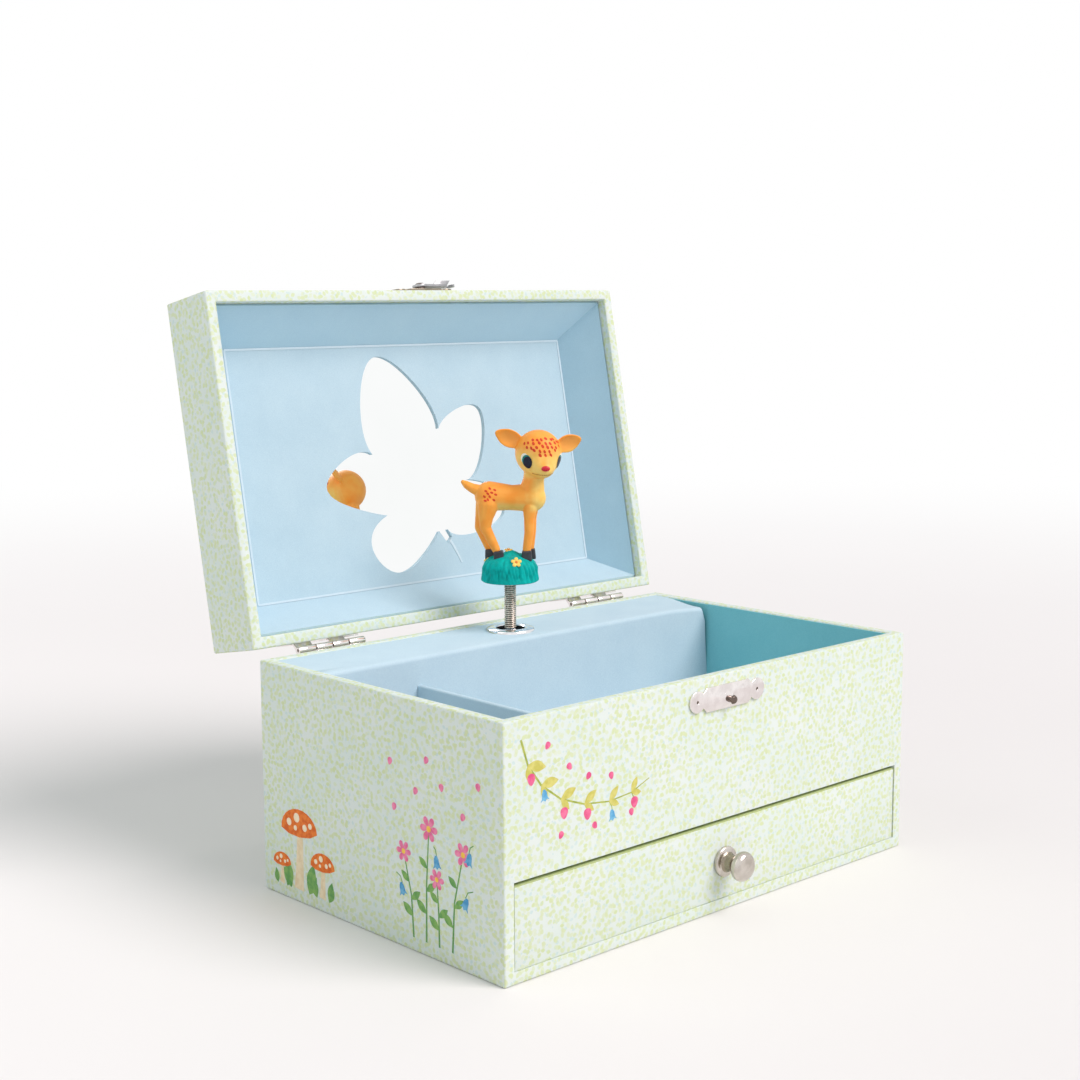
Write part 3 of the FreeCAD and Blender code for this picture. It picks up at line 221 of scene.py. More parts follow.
def leaf_layer(tree, place, spacing, half_length, half_width, shift, share):
    """A layer of small printed leaves: one in a random cell, each turned its own way."""
    moved = add_node(tree, "ShaderNodeMapping", {"Vector": place, "Location": (shift, shift * 0.61, 0)})
    cells = add_node(tree, "ShaderNodeTexVoronoi", {"Vector": moved.outputs[0], "Scale": 1 / spacing,
                     "Randomness": 0.85}, voronoi_dimensions="2D")
    off = add_node(tree, "ShaderNodeVectorMath", {0: moved.outputs[0], 1: cells.outputs["Position"]},
                   operation="SUBTRACT")
    chance = add_node(tree, "ShaderNodeSeparateColor", {"Color": cells.outputs["Color"]})
    turn = math_node(tree, "MULTIPLY", chance.outputs[0], FULL_TURN)
    turned = add_node(tree, "ShaderNodeVectorRotate", {"Vector": off.outputs[0], "Angle": turn},
                      rotation_type="Z_AXIS")
    way = add_node(tree, "ShaderNodeSeparateXYZ", {"Vector": turned.outputs[0]})
    along = math_node(tree, "POWER", math_node(tree, "ABSOLUTE", math_node(
        tree, "DIVIDE", way.outputs[0], half_length)), 2.0)
    across = math_node(tree, "ABSOLUTE", math_node(tree, "DIVIDE", way.outputs[1], half_width))
    inside = ramp(tree, math_node(tree, "ADD", along, across), 1.3, 0.65)
    printed = math_node(tree, "LESS_THAN", chance.outputs[1], share)
    return math_node(tree, "MULTIPLY", inside, printed), chance.outputs[2]


def paper_finish(name, ground, leaf, leaf_two, speck):
    """Matt paper printed with a small all-over pattern of leaves and pale specks."""
    finish, tree, shader = new_finish(name, Specular_IOR_Level=0.25)
    place = add_node(tree, "ShaderNodeUVMap", uv_map="paper").outputs[0]
    cloud = noise(tree, place, 38.0, 4.0)
    colour = blend_colour(tree, ramp(tree, cloud, 0.35, 0.65), *ground)
    for spacing, length, width, shift, share, shades in (
            (3.4, 0.9, 0.6, 0.0, 0.5, speck), (2.5, 1.05, 0.74, 0.311, 0.82, leaf),
            (2.8, 1.15, 0.78, 0.747, 0.85, leaf_two), (1.9, 0.42, 0.36, 0.523, 0.3, speck)):
        mask, tint = leaf_layer(tree, place, spacing * mm, length * mm, width * mm, shift, share)
        shade = blend_colour(tree, tint, *shades)
        inked = math_node(tree, "MULTIPLY", mask, ramp(tree, tint, 0.0, 1.0, 0.45, 0.95))
        colour = blend_colour(tree, inked, colour, shade)
    feed(shader, "Base Color", colour)
    grain = noise(tree, place, 2600.0, 3.0)
    feed(shader, "Roughness", ramp(tree, grain, 0.3, 0.7, 0.58, 0.74))
    bump(tree, shader, grain, 0.12, 0.05)
    return finish


case_shell = start_box("case_shell", (LEFT_FACE, -CASE_HALF.y, 0), (CASE_HALF.x, CASE_HALF.y, CASE_TALL))
mode("EDIT")
pick(lambda at, way: way.z > 0.9)
bpy.ops.mesh.inset(thickness=BOARD)
extrude((0, 0, SHELF_TOP - CASE_TALL))
mode("OBJECT")
round_edges(case_shell, CORNER, 3)
mode("EDIT")


def on_front_face(at, way):
    return way.y < -0.9 and near(at.y, -CASE_HALF.y)


for z in (BOARD, BAY_TOP):
    pick(on_front_face)
    bpy.ops.mesh.bisect(plane_co=(0, 0, z), plane_no=(0, 0, 1))
for x in (-CASE_HALF.x + BOARD, CASE_HALF.x - BOARD):
    pick(lambda at, way: on_front_face(at, way) and BOARD < at.z < BAY_TOP)
    bpy.ops.mesh.bisect(plane_co=(x, 0, 0), plane_no=(1, 0, 0))
pick(lambda at, way: on_front_face(at, way) and BOARD < at.z < BAY_TOP and abs(at.x) < BOARD)
extrude((0, 2 * CASE_HALF.y - BOARD, 0))
mode("OBJECT")
for (x, z), radius in BACK_HOLES:
    clear_selection()
    bpy.ops.mesh.primitive_cylinder_add(vertices=32, radius=radius * mm, depth=12 * mm,
                                        location=(x * mm, BACK_MIDDLE, z * mm), rotation=(pi / 2, 0, 0))
    drill = bpy.context.object
    settle()
    use_modifier(case_shell, "BOOLEAN", object=drill, operation="DIFFERENCE", solver="EXACT")
    bpy.data.objects.remove(drill)


def lay_paper(piece):
    """Lay flat paper coordinates on each side of the piece, in metres."""
    take(piece)
    while piece.data.uv_layers:
        piece.data.uv_layers.remove(piece.data.uv_layers[0])
    piece.data.uv_layers.new(name="paper")
    mode("EDIT")
    select_mesh()
    bpy.ops.uv.cube_project(cube_size=1.0, correct_aspect=False)
    mode("OBJECT")
    smooth(40)


printed_paper = paper_finish("printed_paper", ((218, 227, 222), (213, 225, 219)),
                             ((210, 220, 176), (204, 217, 166)), ((212, 222, 180), (206, 218, 171)),
                             ((190, 214, 214), (200, 219, 218)))
lay_paper(case_shell)
dress(case_shell, printed_paper)
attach(case_shell, "case")
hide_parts("left_side_board", "right_side_board", "front_board", "back_board", "base_board",
            "shelf_board")


# Printed motifs: toadstools and blossoms on the left side, and a berry vine on the front. They are
# part of the paper's print, so each colour is a film of ink that hardly stands off the paper.
FRONT_FACE = -69.5


def on_left(across, up, out):
    return Vector((LEFT_FACE / mm - out, -across, up)) * mm


def on_front(across, up, out):
    return Vector((across, FRONT_FACE - out, up)) * mm


def begin_clay(name):
    """Start an empty mesh in edit mode."""
    clear_selection()
    bpy.ops.mesh.primitive_cube_add(size=1)
    piece = bpy.context.object
    piece.name = name
    mode("EDIT")
    select_mesh()
    bpy.ops.mesh.delete(type="VERT")
    return piece


def face_outwards():
    select_mesh()
    bpy.ops.mesh.normals_make_consistent(inside=False)


LIFT, LAYER_STEP, SHAPE_STEP = 0.004, 0.015, 0.0003


def raise_film(name, side, outlines, layer):
    """Flat shapes on a surface: each outline is filled, raised off it and closed."""
    film = begin_clay(name)
    for count, outline in enumerate(outlines):
        thick = LAYER_STEP * layer + SHAPE_STEP * count
        bpy.ops.mesh.primitive_circle_add(vertices=len(outline), radius=1, fill_type="NGON")
        work = bmesh.from_edit_mesh(film.data)
        shape = next(face for face in work.faces if face.select)
        for v, (across, up) in zip(shape.verts, outline):
            v.co = side(across, up, LIFT)
        shape.normal_update()
        bmesh.update_edit_mesh(film.data)
        extrude(side(0, 0, thick) - side(0, 0, 0))
    face_outwards()
    mode("OBJECT")
    return film


def object_place(tree):
    return add_node(tree, "ShaderNodeTexCoord").outputs["Object"]


def ink_film(name, side, outlines, layer, dark, light):
    """Shapes printed in one slightly uneven ink."""
    film = raise_film(name, side, outlines, layer)
    ink, tree, shader = new_finish(name, Roughness=0.62, Specular_IOR_Level=0.25)
    cloud = noise(tree, object_place(tree), 420.0, 5.0)
    feed(shader, "Base Color", blend_colour(tree, ramp(tree, cloud, 0.35, 0.65), dark, light))
    dress(film, ink)
    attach(film, "case")


def set_down(points, at, turn, size):
    """Turn an outline by degrees, size it and set it down at a place."""
    c, d = cos(radians(turn)) * size, sin(radians(turn)) * size
    return [(at[0] + x * c - y * d, at[1] + x * d + y * c) for x, y in points]


def round_outline(count, wide, tall, pinch=0.0):
    """A disc or oval, drawn narrower towards its foot by the pinch."""
    turns = [2 * pi * i / count for i in range(count)]
    return [(wide * cos(a) * (1 + pinch * sin(a)), tall * sin(a)) for a in turns]


def stroke(points, start, end):
    """A brush stroke along some points, from one width to another."""
    left, right = [], []
    for i, (x, y) in enumerate(points):
        ahead, behind = points[min(i + 1, len(points) - 1)], points[max(i - 1, 0)]
        way = Vector((ahead[0] - behind[0], ahead[1] - behind[1])).normalized()
        half = (start + (end - start) * i / (len(points) - 1)) / 2
        left.append((x - way.y * half, y + way.x * half))
        right.append((x + way.y * half, y - way.x * half))
    return left + right[::-1]


LEAF = [(t / 8, 0.23 * sin(pi * t / 8)) for t in range(9)]
LEAF += [(t / 8, -0.23 * sin(pi * t / 8)) for t in range(7, 0, -1)]
CAP = [(cos(radians(a)), 0.72 * sin(radians(a))) for a in range(0, 181, 15)]
CAP += [(-0.6, -0.16), (0, -0.22), (0.6, -0.16)]
BELL = [(-0.2, 1), (-0.5, 0.5), (-0.62, -0.4), (-0.95, -0.9), (-0.4, -0.65)]
BELL += [(0, -1)] + [(-x, y) for x, y in BELL[::-1]]
PETAL = round_outline(12, 0.62, 1, 0.25)
DISC = round_outline(14, 1, 1)
BERRY = round_outline(16, 0.9, 1.1, 0.3)
GROUND = 5
toadstools = [(-46, 28, 11.5), (-31.5, 17, 7.6), (-57.5, 13, 5.8)]
caps, feet, spots, leaves = [], [], [], []
for across, up, size in toadstools:
    feet.append(stroke([(across - size * 0.06, GROUND), (across, up * 0.5), (across + size * 0.05, up)],
                       size * 0.52, size * 0.3))
    caps.append(set_down(CAP, (across, up), 4, size))
    for x, y, r in ((-0.55, 0.2, 0.13), (-0.12, 0.42, 0.16), (0.32, 0.16, 0.12), (0.62, 0.28, 0.1),
                    (-0.2, 0.06, 0.09)):
        spots.append(set_down(DISC, (across + x * size, up + y * size), 0, r * size))
    for turn, long in ((58, 0.8), (76, 1.1), (104, 1.0), (124, 0.75)):
        foot = across + size * (0.5 if turn < 90 else -0.5)
        leaves.append(set_down(LEAF, (foot, 4.6), turn, long * size))
stems, petals, eyes, bells = [], [], [], []
for foot, lean, tall, size in ((22, -5, 30, 2.3), (29, 2, 41, 2.7), (36, -1, 24, 2.2), (43, 6, 36, 2.5)):
    top = (foot + lean, GROUND + tall)
    stems.append(stroke([(foot, GROUND), (foot + lean * 0.2, GROUND + tall * 0.5), top], 0.9, 0.5))
    for i, share in enumerate((0.25, 0.45, 0.65)):
        spot = (foot + lean * share * share, GROUND + tall * share)
        leaves.append(set_down(LEAF, spot, 38 if i % 2 else 142, 7.5 - 3 * share))
    for turn in range(0, 360, 60):
        petals.append(set_down(PETAL, set_down([(1, 0)], top, turn, size)[0], turn - 90, size * 0.72))
    eyes.append(set_down(DISC, top, 0, size * 0.42))
for across, up, turn in ((16, 21, 20), (50, 24, -25), (35, 35, 10), (52, 40, -15)):
    bells.append(set_down(BELL, (across, up), turn, 2.4))
    hook = [(across, up + 2.2), (across - turn * 0.05, up + 4.4), (across - turn * 0.16, up + 5.4)]
    stems.append(stroke(hook, 0.4, 0.4))
for across, up in ((12, 50), (24, 58), (38, 62), (49, 54), (57, 66), (30, 70), (10, 66)):
    petals.append(set_down(BERRY, (across, up), 30 * sin(across), 1.3))
ink_film("ink_feet", on_left, feet, 1, (226, 206, 168), (236, 220, 188))
ink_film("ink_leaves", on_left, leaves, 3, (96, 152, 86), (132, 176, 96))
ink_film("ink_stems", on_left, stems, 2, (92, 146, 84), (112, 162, 92))
ink_film("ink_caps", on_left, caps, 4, (214, 98, 34), (234, 128, 50))
ink_film("ink_spots", on_left, spots, 7, (242, 222, 186), (248, 232, 204))
ink_film("ink_petals", on_left, petals, 5, (222, 106, 150), (238, 140, 174))
ink_film("ink_eyes", on_left, eyes, 8, (238, 190, 70), (246, 206, 96))
ink_film("ink_bells", on_left, bells, 6, (74, 148, 196), (110, 176, 214))
vine = [(-102, 83), (-99, 74), (-93, 66), (-84, 59.5), (-73, 55.5), (-61, 54), (-50, 55), (-41, 58.5)]
leaves, berries, bells, stems = [], [], [], [stroke(vine, 0.9, 0.4)]
for i, (across, up) in enumerate(vine[1:-1]):
    way = degrees(atan2(vine[i + 2][1] - vine[i][1], vine[i + 2][0] - vine[i][0]))
    leaves.append(set_down(LEAF, (across, up), way + 48, 8.5 - 0.5 * i))
    leaves.append(set_down(LEAF, (across, up), way - 20, 6.5 - 0.3 * i))
    hang = (across + 1.5, up - 5.2 + (i % 2) * 1.4)
    stems.append(stroke([(across, up), (across + 1.2, up - 2), (hang[0], hang[1] + 1.6)], 0.4, 0.4))
    if i % 3 == 1:
        bells.append(set_down(BELL, hang, 8, 2.1))
    else:
        berries.append(set_down(BERRY, hang, 0, 1.9))
for across, up in ((-90, 79), (-80, 70), (-71, 65), (-60, 63), (-50, 48), (-68, 47), (-84, 47)):
    berries.append(set_down(BERRY, (across, up), 40 * sin(across), 1.25))
ink_film("ink_vine", on_front, stems, 1, (150, 166, 70), (176, 186, 90))
ink_film("ink_vine_leaves", on_front, leaves, 2, (196, 190, 92), (212, 206, 120))
ink_film("ink_berries", on_front, berries, 4, (218, 84, 132), (234, 118, 156))
ink_film("ink_vine_bells", on_front, bells, 5, (86, 160, 206), (122, 186, 220))


# Drawer: a paper-covered board front that rests close in its bay, and a plain box behind it, glued
# up from thin greyboard. The front's top edge is a darker olive-green paper, partly a green paper edge
# and partly painted shade of the gap above it. Its floor carries a flocked lining.
DRAWER_LOW = Vector((-104.9 * mm, -69.1 * mm, 4.56 * mm))
DRAWER_HIGH = Vector((105.2 * mm, -64.6 * mm, 34.0 * mm))


def finish_node(node, finish):
    """Give a CAD node its finish."""
    dress(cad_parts[node], finish)


drawer_face = start_box("drawer_face", DRAWER_LOW, DRAWER_HIGH)
mode("EDIT")
pick(lambda at, way: abs(way.x) > 0.9 and near(at.z, DRAWER_HIGH.z) and near(at.y, DRAWER_LOW.y), "edges")
bpy.ops.mesh.bevel(offset=0.9 * mm, segments=4, affect="EDGES")
mode("OBJECT")
round_edges(drawer_face, 0.25, 2)
lay_paper(drawer_face)
# The top edge's darker olive-green paper is partly a green paper edge and partly painted shade of the gap
# above it.
green_edge_shade_paper = paper_finish("green_edge_shade_paper", ((178, 191, 138), (172, 186, 130)),
                          ((168, 183, 118), (162, 178, 110)), ((174, 187, 126), (168, 183, 120)),
                          ((184, 197, 152), (178, 192, 144)))
dress(drawer_face, printed_paper, green_edge_shade_paper)
for side in drawer_face.data.polygons:
    if side.normal.z > 0.5:
        side.material_index = 1
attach(drawer_face, "drawer")
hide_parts("drawer_front")

grey_board, tree, shader = new_finish("grey_board", Specular_IOR_Level=0.2, Roughness=0.85)
pulp = noise(tree, object_place(tree), 900.0, 6.0)
feed(shader, "Base Color", blend_colour(tree, ramp(tree, pulp, 0.3, 0.7), (206, 214, 200), (226, 232, 222)))
bump(tree, shader, pulp, 0.2, 0.1)
for node in ("drawer_left_side", "drawer_right_side", "drawer_back", "drawer_bottom"):
    finish_node(node, grey_board)


# Flocked lining: pale blue card with a short velvety nap, glued to the drawer floor and round the
# tray. The right wall's lining has a darker, more saturated teal: painted shade for the shade that
# falls on it. The nap lies in soft patches and scatters light.
def flock_finish(name, dark, light):
    finish, tree, shader = new_finish(name, Roughness=0.95, Specular_IOR_Level=0.1, Sheen_Weight=0.35,
                                      Sheen_Roughness=0.45, Sheen_Tint=srgb(214, 232, 242))
    place = object_place(tree)
    patch = add_node(tree, "ShaderNodeTexNoise", {"Vector": place, "Scale": 55.0, "Detail": 5.0,
                                                  "Roughness": 0.6})
    nap = noise(tree, place, 3200.0, 3.0)
    shade = math_node(tree, "ADD", math_node(tree, "MULTIPLY", patch.outputs[0], 0.35),
                      math_node(tree, "MULTIPLY", nap, 0.65))
    feed(shader, "Base Color", blend_colour(tree, ramp(tree, shade, 0.3, 0.7), dark, light))
    bump(tree, shader, nap, 0.35, 0.12)
    return finish


blue_flock = flock_finish("blue_flock", (185, 209, 221), (200, 221, 230))
right_wall_shade_flock = flock_finish("right_wall_shade_flock", (126, 200, 208), (140, 211, 217))
for node in ("drawer_lining", "tray_lining_left", "tray_lining_front", "tray_lining_floor"):
    finish_node(node, blue_flock)
finish_node("tray_lining_right", right_wall_shade_flock)


# Tray divider: a flocked board wall that stands across the tray and stops below the rim,
# its top edge rounded where the flocked cover is drawn over it.
divider_low, divider_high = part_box("tray_divider")
tray_wall = start_box("tray_wall", divider_low, divider_high)
mode("EDIT")
pick(lambda at, way: abs(way.y) > 0.9 and near(at.z, divider_high.z), "edges")
bpy.ops.mesh.bevel(offset=0.9 * mm, segments=4, affect="EDGES")
mode("OBJECT")
smooth(50)
dress(tray_wall, blue_flock)
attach(tray_wall, "case")
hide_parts("tray_divider")


# Drawer knob: a turned and nickel-plated mushroom knob with a foot disc, drawn tight against the
# drawer's face by a screw from inside.
MERGE = 0.002 * mm


def turn_piece(name, rings, sides, centre, axis=(0, 0, 1), hollow=False):
    """Turn a piece as on a lathe: rings of radius and height, extruded and resized one after another.

    A hollow piece goes round its section and closes on its first ring.
    """
    clear_selection()
    radius, height = rings[0]
    bpy.ops.mesh.primitive_circle_add(vertices=sides, radius=radius * mm, location=(0, 0, height * mm),
                                      fill_type="NOTHING" if hollow else "NGON")
    piece = bpy.context.object
    piece.name = name
    settle()
    mode("EDIT")
    select_mesh()
    for (r0, z0), (r1, z1) in zip(rings, rings[1:]):
        extrude((0, 0, (z1 - z0) * mm))
        bpy.ops.transform.resize(value=(r1 / r0, r1 / r0, 1), center_override=(0, 0, z1 * mm))
    if hollow:
        select_mesh()
        bpy.ops.mesh.remove_doubles(threshold=MERGE)
    face_outwards()
    mode("OBJECT")
    piece.rotation_euler = Vector(axis).to_track_quat("Z", "Y").to_euler()
    piece.location = [c * mm for c in centre]
    settle()
    smooth(35)
    return piece


def metal_finish(name, dull, bright, rough, scratch):
    """Plated or bare metal with a cloudy polish and fine scratches."""
    finish, tree, shader = new_finish(name, Metallic=1.0)
    place = object_place(tree)
    cloud = noise(tree, place, 260.0, 5.0)
    long = add_node(tree, "ShaderNodeMapping", {"Vector": place, "Scale": (400, 5200, 2600)})
    marks = noise(tree, long.outputs[0], 1.0, 3.0)
    feed(shader, "Base Color", blend_colour(tree, ramp(tree, cloud, 0.3, 0.7), dull, bright))
    worn = math_node(tree, "ADD", math_node(tree, "MULTIPLY", cloud, 0.6),
                     math_node(tree, "MULTIPLY", marks, 0.4))
    feed(shader, "Roughness", ramp(tree, worn, 0.3, 0.7, *rough))
    bump(tree, shader, marks, scratch, 0.02)
    return finish


nickel_plate = metal_finish("nickel_plate", (188, 180, 172), (214, 207, 200), (0.1, 0.22), 0.12)
darker_nickel = metal_finish("darker_nickel", (140, 130, 114), (166, 156, 140), (0.16, 0.3), 0.15)
knob_rings = [(5.3, 0.0), (5.75, 0.25), (5.85, 0.8), (5.7, 1.3), (5.2, 1.65), (4.5, 1.8), (3.9, 2.0),
              (3.45, 2.5), (3.2, 3.3), (3.1, 4.4), (3.15, 5.4), (3.4, 6.2), (4.0, 6.8), (4.8, 7.3),
              (5.35, 7.9), (5.6, 8.7), (5.6, 9.3), (5.45, 9.9), (5.15, 10.45), (4.75, 10.9), (4.25, 11.2),
              (3.9, 11.3), (3.7, 11.28), (2.0, 11.4), (0.15, 11.45)]
KNOB_SEAT = (0, -69.1, 18.6)
NECK_FRONT, NECK_BACK = -75.6 * mm, -70.8 * mm
knob = turn_piece("knob", knob_rings, 56, KNOB_SEAT, (0, -1, 0))
dress(knob, nickel_plate, darker_nickel)
# The neck's cove under the knob's head is given darker nickel as painted shade.
for side in knob.data.polygons:
    if NECK_FRONT < side.center.y < NECK_BACK and abs(side.normal.y) < 0.8:
        side.material_index = 1
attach(knob, "drawer")
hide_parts("drawer_knob")
finish_node("knob_screw", nickel_plate)


# Movement: a clockwork inside the housing on a die-cast bedplate, with a brass mainspring barrel,
# a pinned cylinder, a steel comb and a governor with a nylon fan. The key reaches in from the back.
steel = metal_finish("steel", (160, 160, 162), (186, 186, 188), (0.26, 0.42), 0.35)
brass = metal_finish("brass", (190, 150, 78), (214, 176, 104), (0.2, 0.38), 0.25)
die_cast = metal_finish("die_cast", (120, 121, 124), (146, 147, 150), (0.45, 0.62), 0.5)
nylon, tree, shader = new_finish("nylon", Roughness=0.45, Specular_IOR_Level=0.4, Subsurface_Weight=0.1,
                                 Subsurface_Scale=0.5 * mm)
cloud = noise(tree, object_place(tree), 700.0, 4.0)
feed(shader, "Base Color", blend_colour(tree, cloud, (226, 224, 214), (240, 238, 230)))
for node, finish in (("movement_bedplate", die_cast), ("mainspring_barrel", brass), ("mainspring", steel),
                     ("pinned_cylinder", brass), ("comb", steel), ("comb_screws", steel),
                     ("bearing_bracket", steel), ("governor_bracket", brass), ("governor_wheel", brass),
                     ("worm_fan", nylon), ("movement_screws", steel), ("dancer_spindle", steel),
                     ("figure_peg", steel)):
    finish_node(node, finish)


# Music housing: flocked card folded along its front edge and set across the back of the tray, where
# its free right corner has sagged a little. A chromed eyelet is pressed into it round the spindle.
def smooth_step(low, high, value):
    t = max(0.0, min(1.0, (value - low) / (high - low)))
    return t * t * (3 - 2 * t)


def copy_node(node, name):
    """A merged copy of a CAD node, left in edit mode with all of it selected."""
    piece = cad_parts[node].copy()
    piece.data = piece.data.copy()
    for key in list(piece.keys()):
        del piece[key]
    piece.name = name
    piece.parent = None
    bpy.context.scene.collection.objects.link(piece)
    take(piece)
    mode("EDIT")
    select_mesh()
    bpy.ops.mesh.remove_doubles(threshold=MERGE)
    return piece


AXIS_Y = 48.5
FOLD, FOLD_RADIUS, TIGHTER = Vector((0, 36.0, 86.6)), 3, 0.6
SAG, DRAWN_IN = 1.3, 2.0
CUTS = (((1, 0, 0), (78, 83, 88, 92, 95, 97, 99, 101, 102.5, 104)), ((0, 1, 0), range(38, 62, 4)),
        ((0, 0, 1), (50, 60, 70, 78, 83)))
housing = copy_node("music_housing", "housing_card")
for along, steps in CUTS:
    for step in steps:
        select_mesh()
        bpy.ops.mesh.bisect(plane_co=Vector(along) * step * mm, plane_no=along)
mode("OBJECT")
for v in housing.data.vertices:
    at = v.co / mm
    bend = Vector((0, at.y, at.z)) - FOLD
    if bend.y < 0.01 and bend.z > -0.01 and bend.length > 2:
        at += (Vector((0, -FOLD_RADIUS, FOLD_RADIUS)) - bend) * (1 - TIGHTER)
    drawn = DRAWN_IN * (smooth_step(45, 86, at.z) + smooth_step(83, 89.6, at.z))
    fore = smooth_step(62, 35, at.y)
    at.z -= SAG * smooth_step(80, 105.5, at.x) * fore * smooth_step(55, 86, at.z)
    at.x -= drawn * smooth_step(97, 105.5, at.x) * fore
    v.co = at * mm
smooth(35)
dress(housing, blue_flock)
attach(housing, "case")
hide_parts("music_housing")
lining_low, lining_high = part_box("tray_lining_right")
lining_end = start_box("lining_end", (lining_low.x, lining_high.y, lining_low.z),
                       (lining_high.x, 64.9 * mm, 89.3 * mm))
round_edges(lining_end, 0.1, 2)
# The end strip carries the right wall's painted shade colour too.
dress(lining_end, right_wall_shade_flock)
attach(lining_end, "case")
chrome = metal_finish("chrome", (222, 222, 224), (238, 238, 240), (0.05, 0.14), 0.06)
eyelet_rings = [(5.5, -2.4), (6.05, -2.4), (6.05, 0.0), (10.2, 0.0), (10.15, 0.25)]
eyelet_rings += [(9.2 + 0.95 * cos(radians(a)), 0.25 + 1.0 * sin(radians(a)))
                 for a in range(15, 90, 15)]
eyelet_rings += [(8.4, 1.42), (7.4, 1.55), (6.6, 1.4), (6.0, 1.0), (5.65, 0.5), (5.5, 0.0), (5.5, -2.4)]
eyelet = turn_piece("eyelet", eyelet_rings, 64, (0, AXIS_Y, 89.6), hollow=True)
EYELET_BORE = 6.2 * mm
# The bore is coloured near-black as painted shade for the dark hole below the eyelet.
bore_painted_shade = metal_finish("bore_painted_shade", (22, 23, 26), (34, 35, 38), (0.5, 0.7), 0.3)
dress(eyelet, chrome, bore_painted_shade)
for side in eyelet.data.polygons:
    if hypot(side.center.x, side.center.y - AXIS_Y * mm) < EYELET_BORE:
        side.material_index = 1
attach(eyelet, "case")
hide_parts("grommet")


# Coil spring: close-wound steel wire between the spindle's cup and the figure's base, drawn here
# standing upright as it stands when the lid is open.
COIL_R = 2.12
COIL_WIRE = 0.39
COIL_TURNS = 23
COIL_LOW, COIL_HIGH = 90.5, 109.9
clear_selection()
bpy.ops.mesh.primitive_circle_add(vertices=8, radius=COIL_WIRE * mm, fill_type="NOTHING",
                                  location=(COIL_R * mm, 0, 0), rotation=(pi / 2, 0, 0))
coil = bpy.context.object
coil.name = "coil"
settle()
use_modifier(coil, "SCREW", axis="Z", angle=2 * pi, iterations=COIL_TURNS, steps=24, render_steps=24,
             screw_offset=(COIL_HIGH - COIL_LOW) / COIL_TURNS * mm)
mode("EDIT")
select_mesh()
bpy.ops.mesh.fill_holes(sides=8)
face_outwards()
mode("OBJECT")
coil.location = (0, AXIS_Y * mm, COIL_LOW * mm)
settle()
bpy.ops.object.shade_smooth()
spring_steel = metal_finish("spring_steel", (184, 172, 160), (208, 198, 186), (0.22, 0.36), 0.2)
dress(coil, spring_steel)
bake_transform(coil)
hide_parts("figure_spring")


# Grass mound: the figure's moulded base, a dome with upright furrows for blades, painted green.
# A steel peg in its underside is gripped by the top of the spring.
FIGURE_TURN = radians(-42)
MOUND_FOOT, MOUND_TALL, MOUND_TOP = 110.3, 11.3, 123.0


def add_lump(balls, sides=14):
    """Add the smooth hull of some balls, each a centre and a radius in millimetres, and put it by."""
    for centre, radius in balls:
        bpy.ops.mesh.primitive_uv_sphere_add(segments=sides, ring_count=sides // 2 + 1, radius=radius * mm,
                                             location=[c * mm for c in centre])
    select_mesh()
    bpy.ops.mesh.convex_hull()
    bpy.ops.mesh.hide(unselected=False)


def add_limb(stations, sides=14):
    """A tapering limb: one hull for each pair of neighbouring balls."""
    for pair in zip(stations, stations[1:]):
        add_lump(pair, sides)


def fuse_clay(piece, grain, soften):
    """Run the lumps together into one skin and smooth the joins."""
    bpy.ops.mesh.reveal()
    mode("OBJECT")
    use_modifier(piece, "REMESH", mode="VOXEL", voxel_size=grain * mm)
    use_modifier(piece, "SMOOTH", factor=0.5, iterations=soften)
    bpy.ops.object.shade_smooth()


def stand_on_axis(piece):
    """Turn a piece drawn side-on to the figure's place on the spindle's axis."""
    take(piece)
    piece.rotation_euler = (0, 0, FIGURE_TURN)
    piece.location = (0, AXIS_Y * mm, 0)
    settle()


def paint_finish(name, dark, light, rough, gloss=0.45):
    """Hand-painted hard plastic: a slightly uneven coat with a soft gloss."""
    finish, tree, shader = new_finish(name, Specular_IOR_Level=gloss)
    cloud = noise(tree, object_place(tree), 420.0, 5.0)
    feed(shader, "Base Color", blend_colour(tree, ramp(tree, cloud, 0.3, 0.7), dark, light))
    feed(shader, "Roughness", ramp(tree, cloud, 0.3, 0.7, *rough))
    bump(tree, shader, cloud, 0.12, 0.1)
    return finish


mound_rings = [(11.2, MOUND_FOOT), (11.9, 110.7)]
mound_rings += [(12.0 - 0.35 * (i / 7) ** 2, 111.1 + 0.6 * i) for i in range(8)]
mound_rings += [(11.65 * cos(radians(a)) ** 0.85, 115.3 + 6.3 * sin(radians(a)))
                for a in range(5, 90, 5)]
mound_rings += [(0.2, 121.62)]
grass = turn_piece("grass", mound_rings, 200, (0, 0, 0))
TUFTS = [((0.4, 0.2), 3.0, 1.7), ((2.4, -7.6), 2.2, 1.1), ((-8.8, 2.0), 1.8, 0.9), ((5.0, 6.0), 2.0, 0.7)]


def comb_grass(at):
    """Press wavy upright furrows into the side of the dome and raise a few tufts on it."""
    around = atan2(at.y, at.x)
    rise = min(1.0, (at.z - MOUND_FOOT) / MOUND_TALL)
    wave = 1.3 * sin(2 * around + 1) + 0.8 * sin(3 * around + 5 * rise)
    wave += 0.5 * sin(7 * around)
    furrow = 0.65 * abs(sin(11 * around + wave))
    furrow += 0.35 * abs(sin(19 * around - 1.7 * wave + 2 * rise))
    deep = 1.6 * min(1.0, 4 * rise) * max(0.0, cos(0.5 * pi * rise)) ** 0.7
    narrow = max(0.0, 1 - deep * (1 - furrow) / max(at.xy.length, 0.5))
    for (x, y), spread, tall in TUFTS:
        gap = ((at.x - x) ** 2 + (at.y - y) ** 2) / spread ** 2
        at.z += rise * tall * exp(-gap)
    return Vector((at.x * narrow, at.y * narrow, min(at.z, MOUND_TOP)))


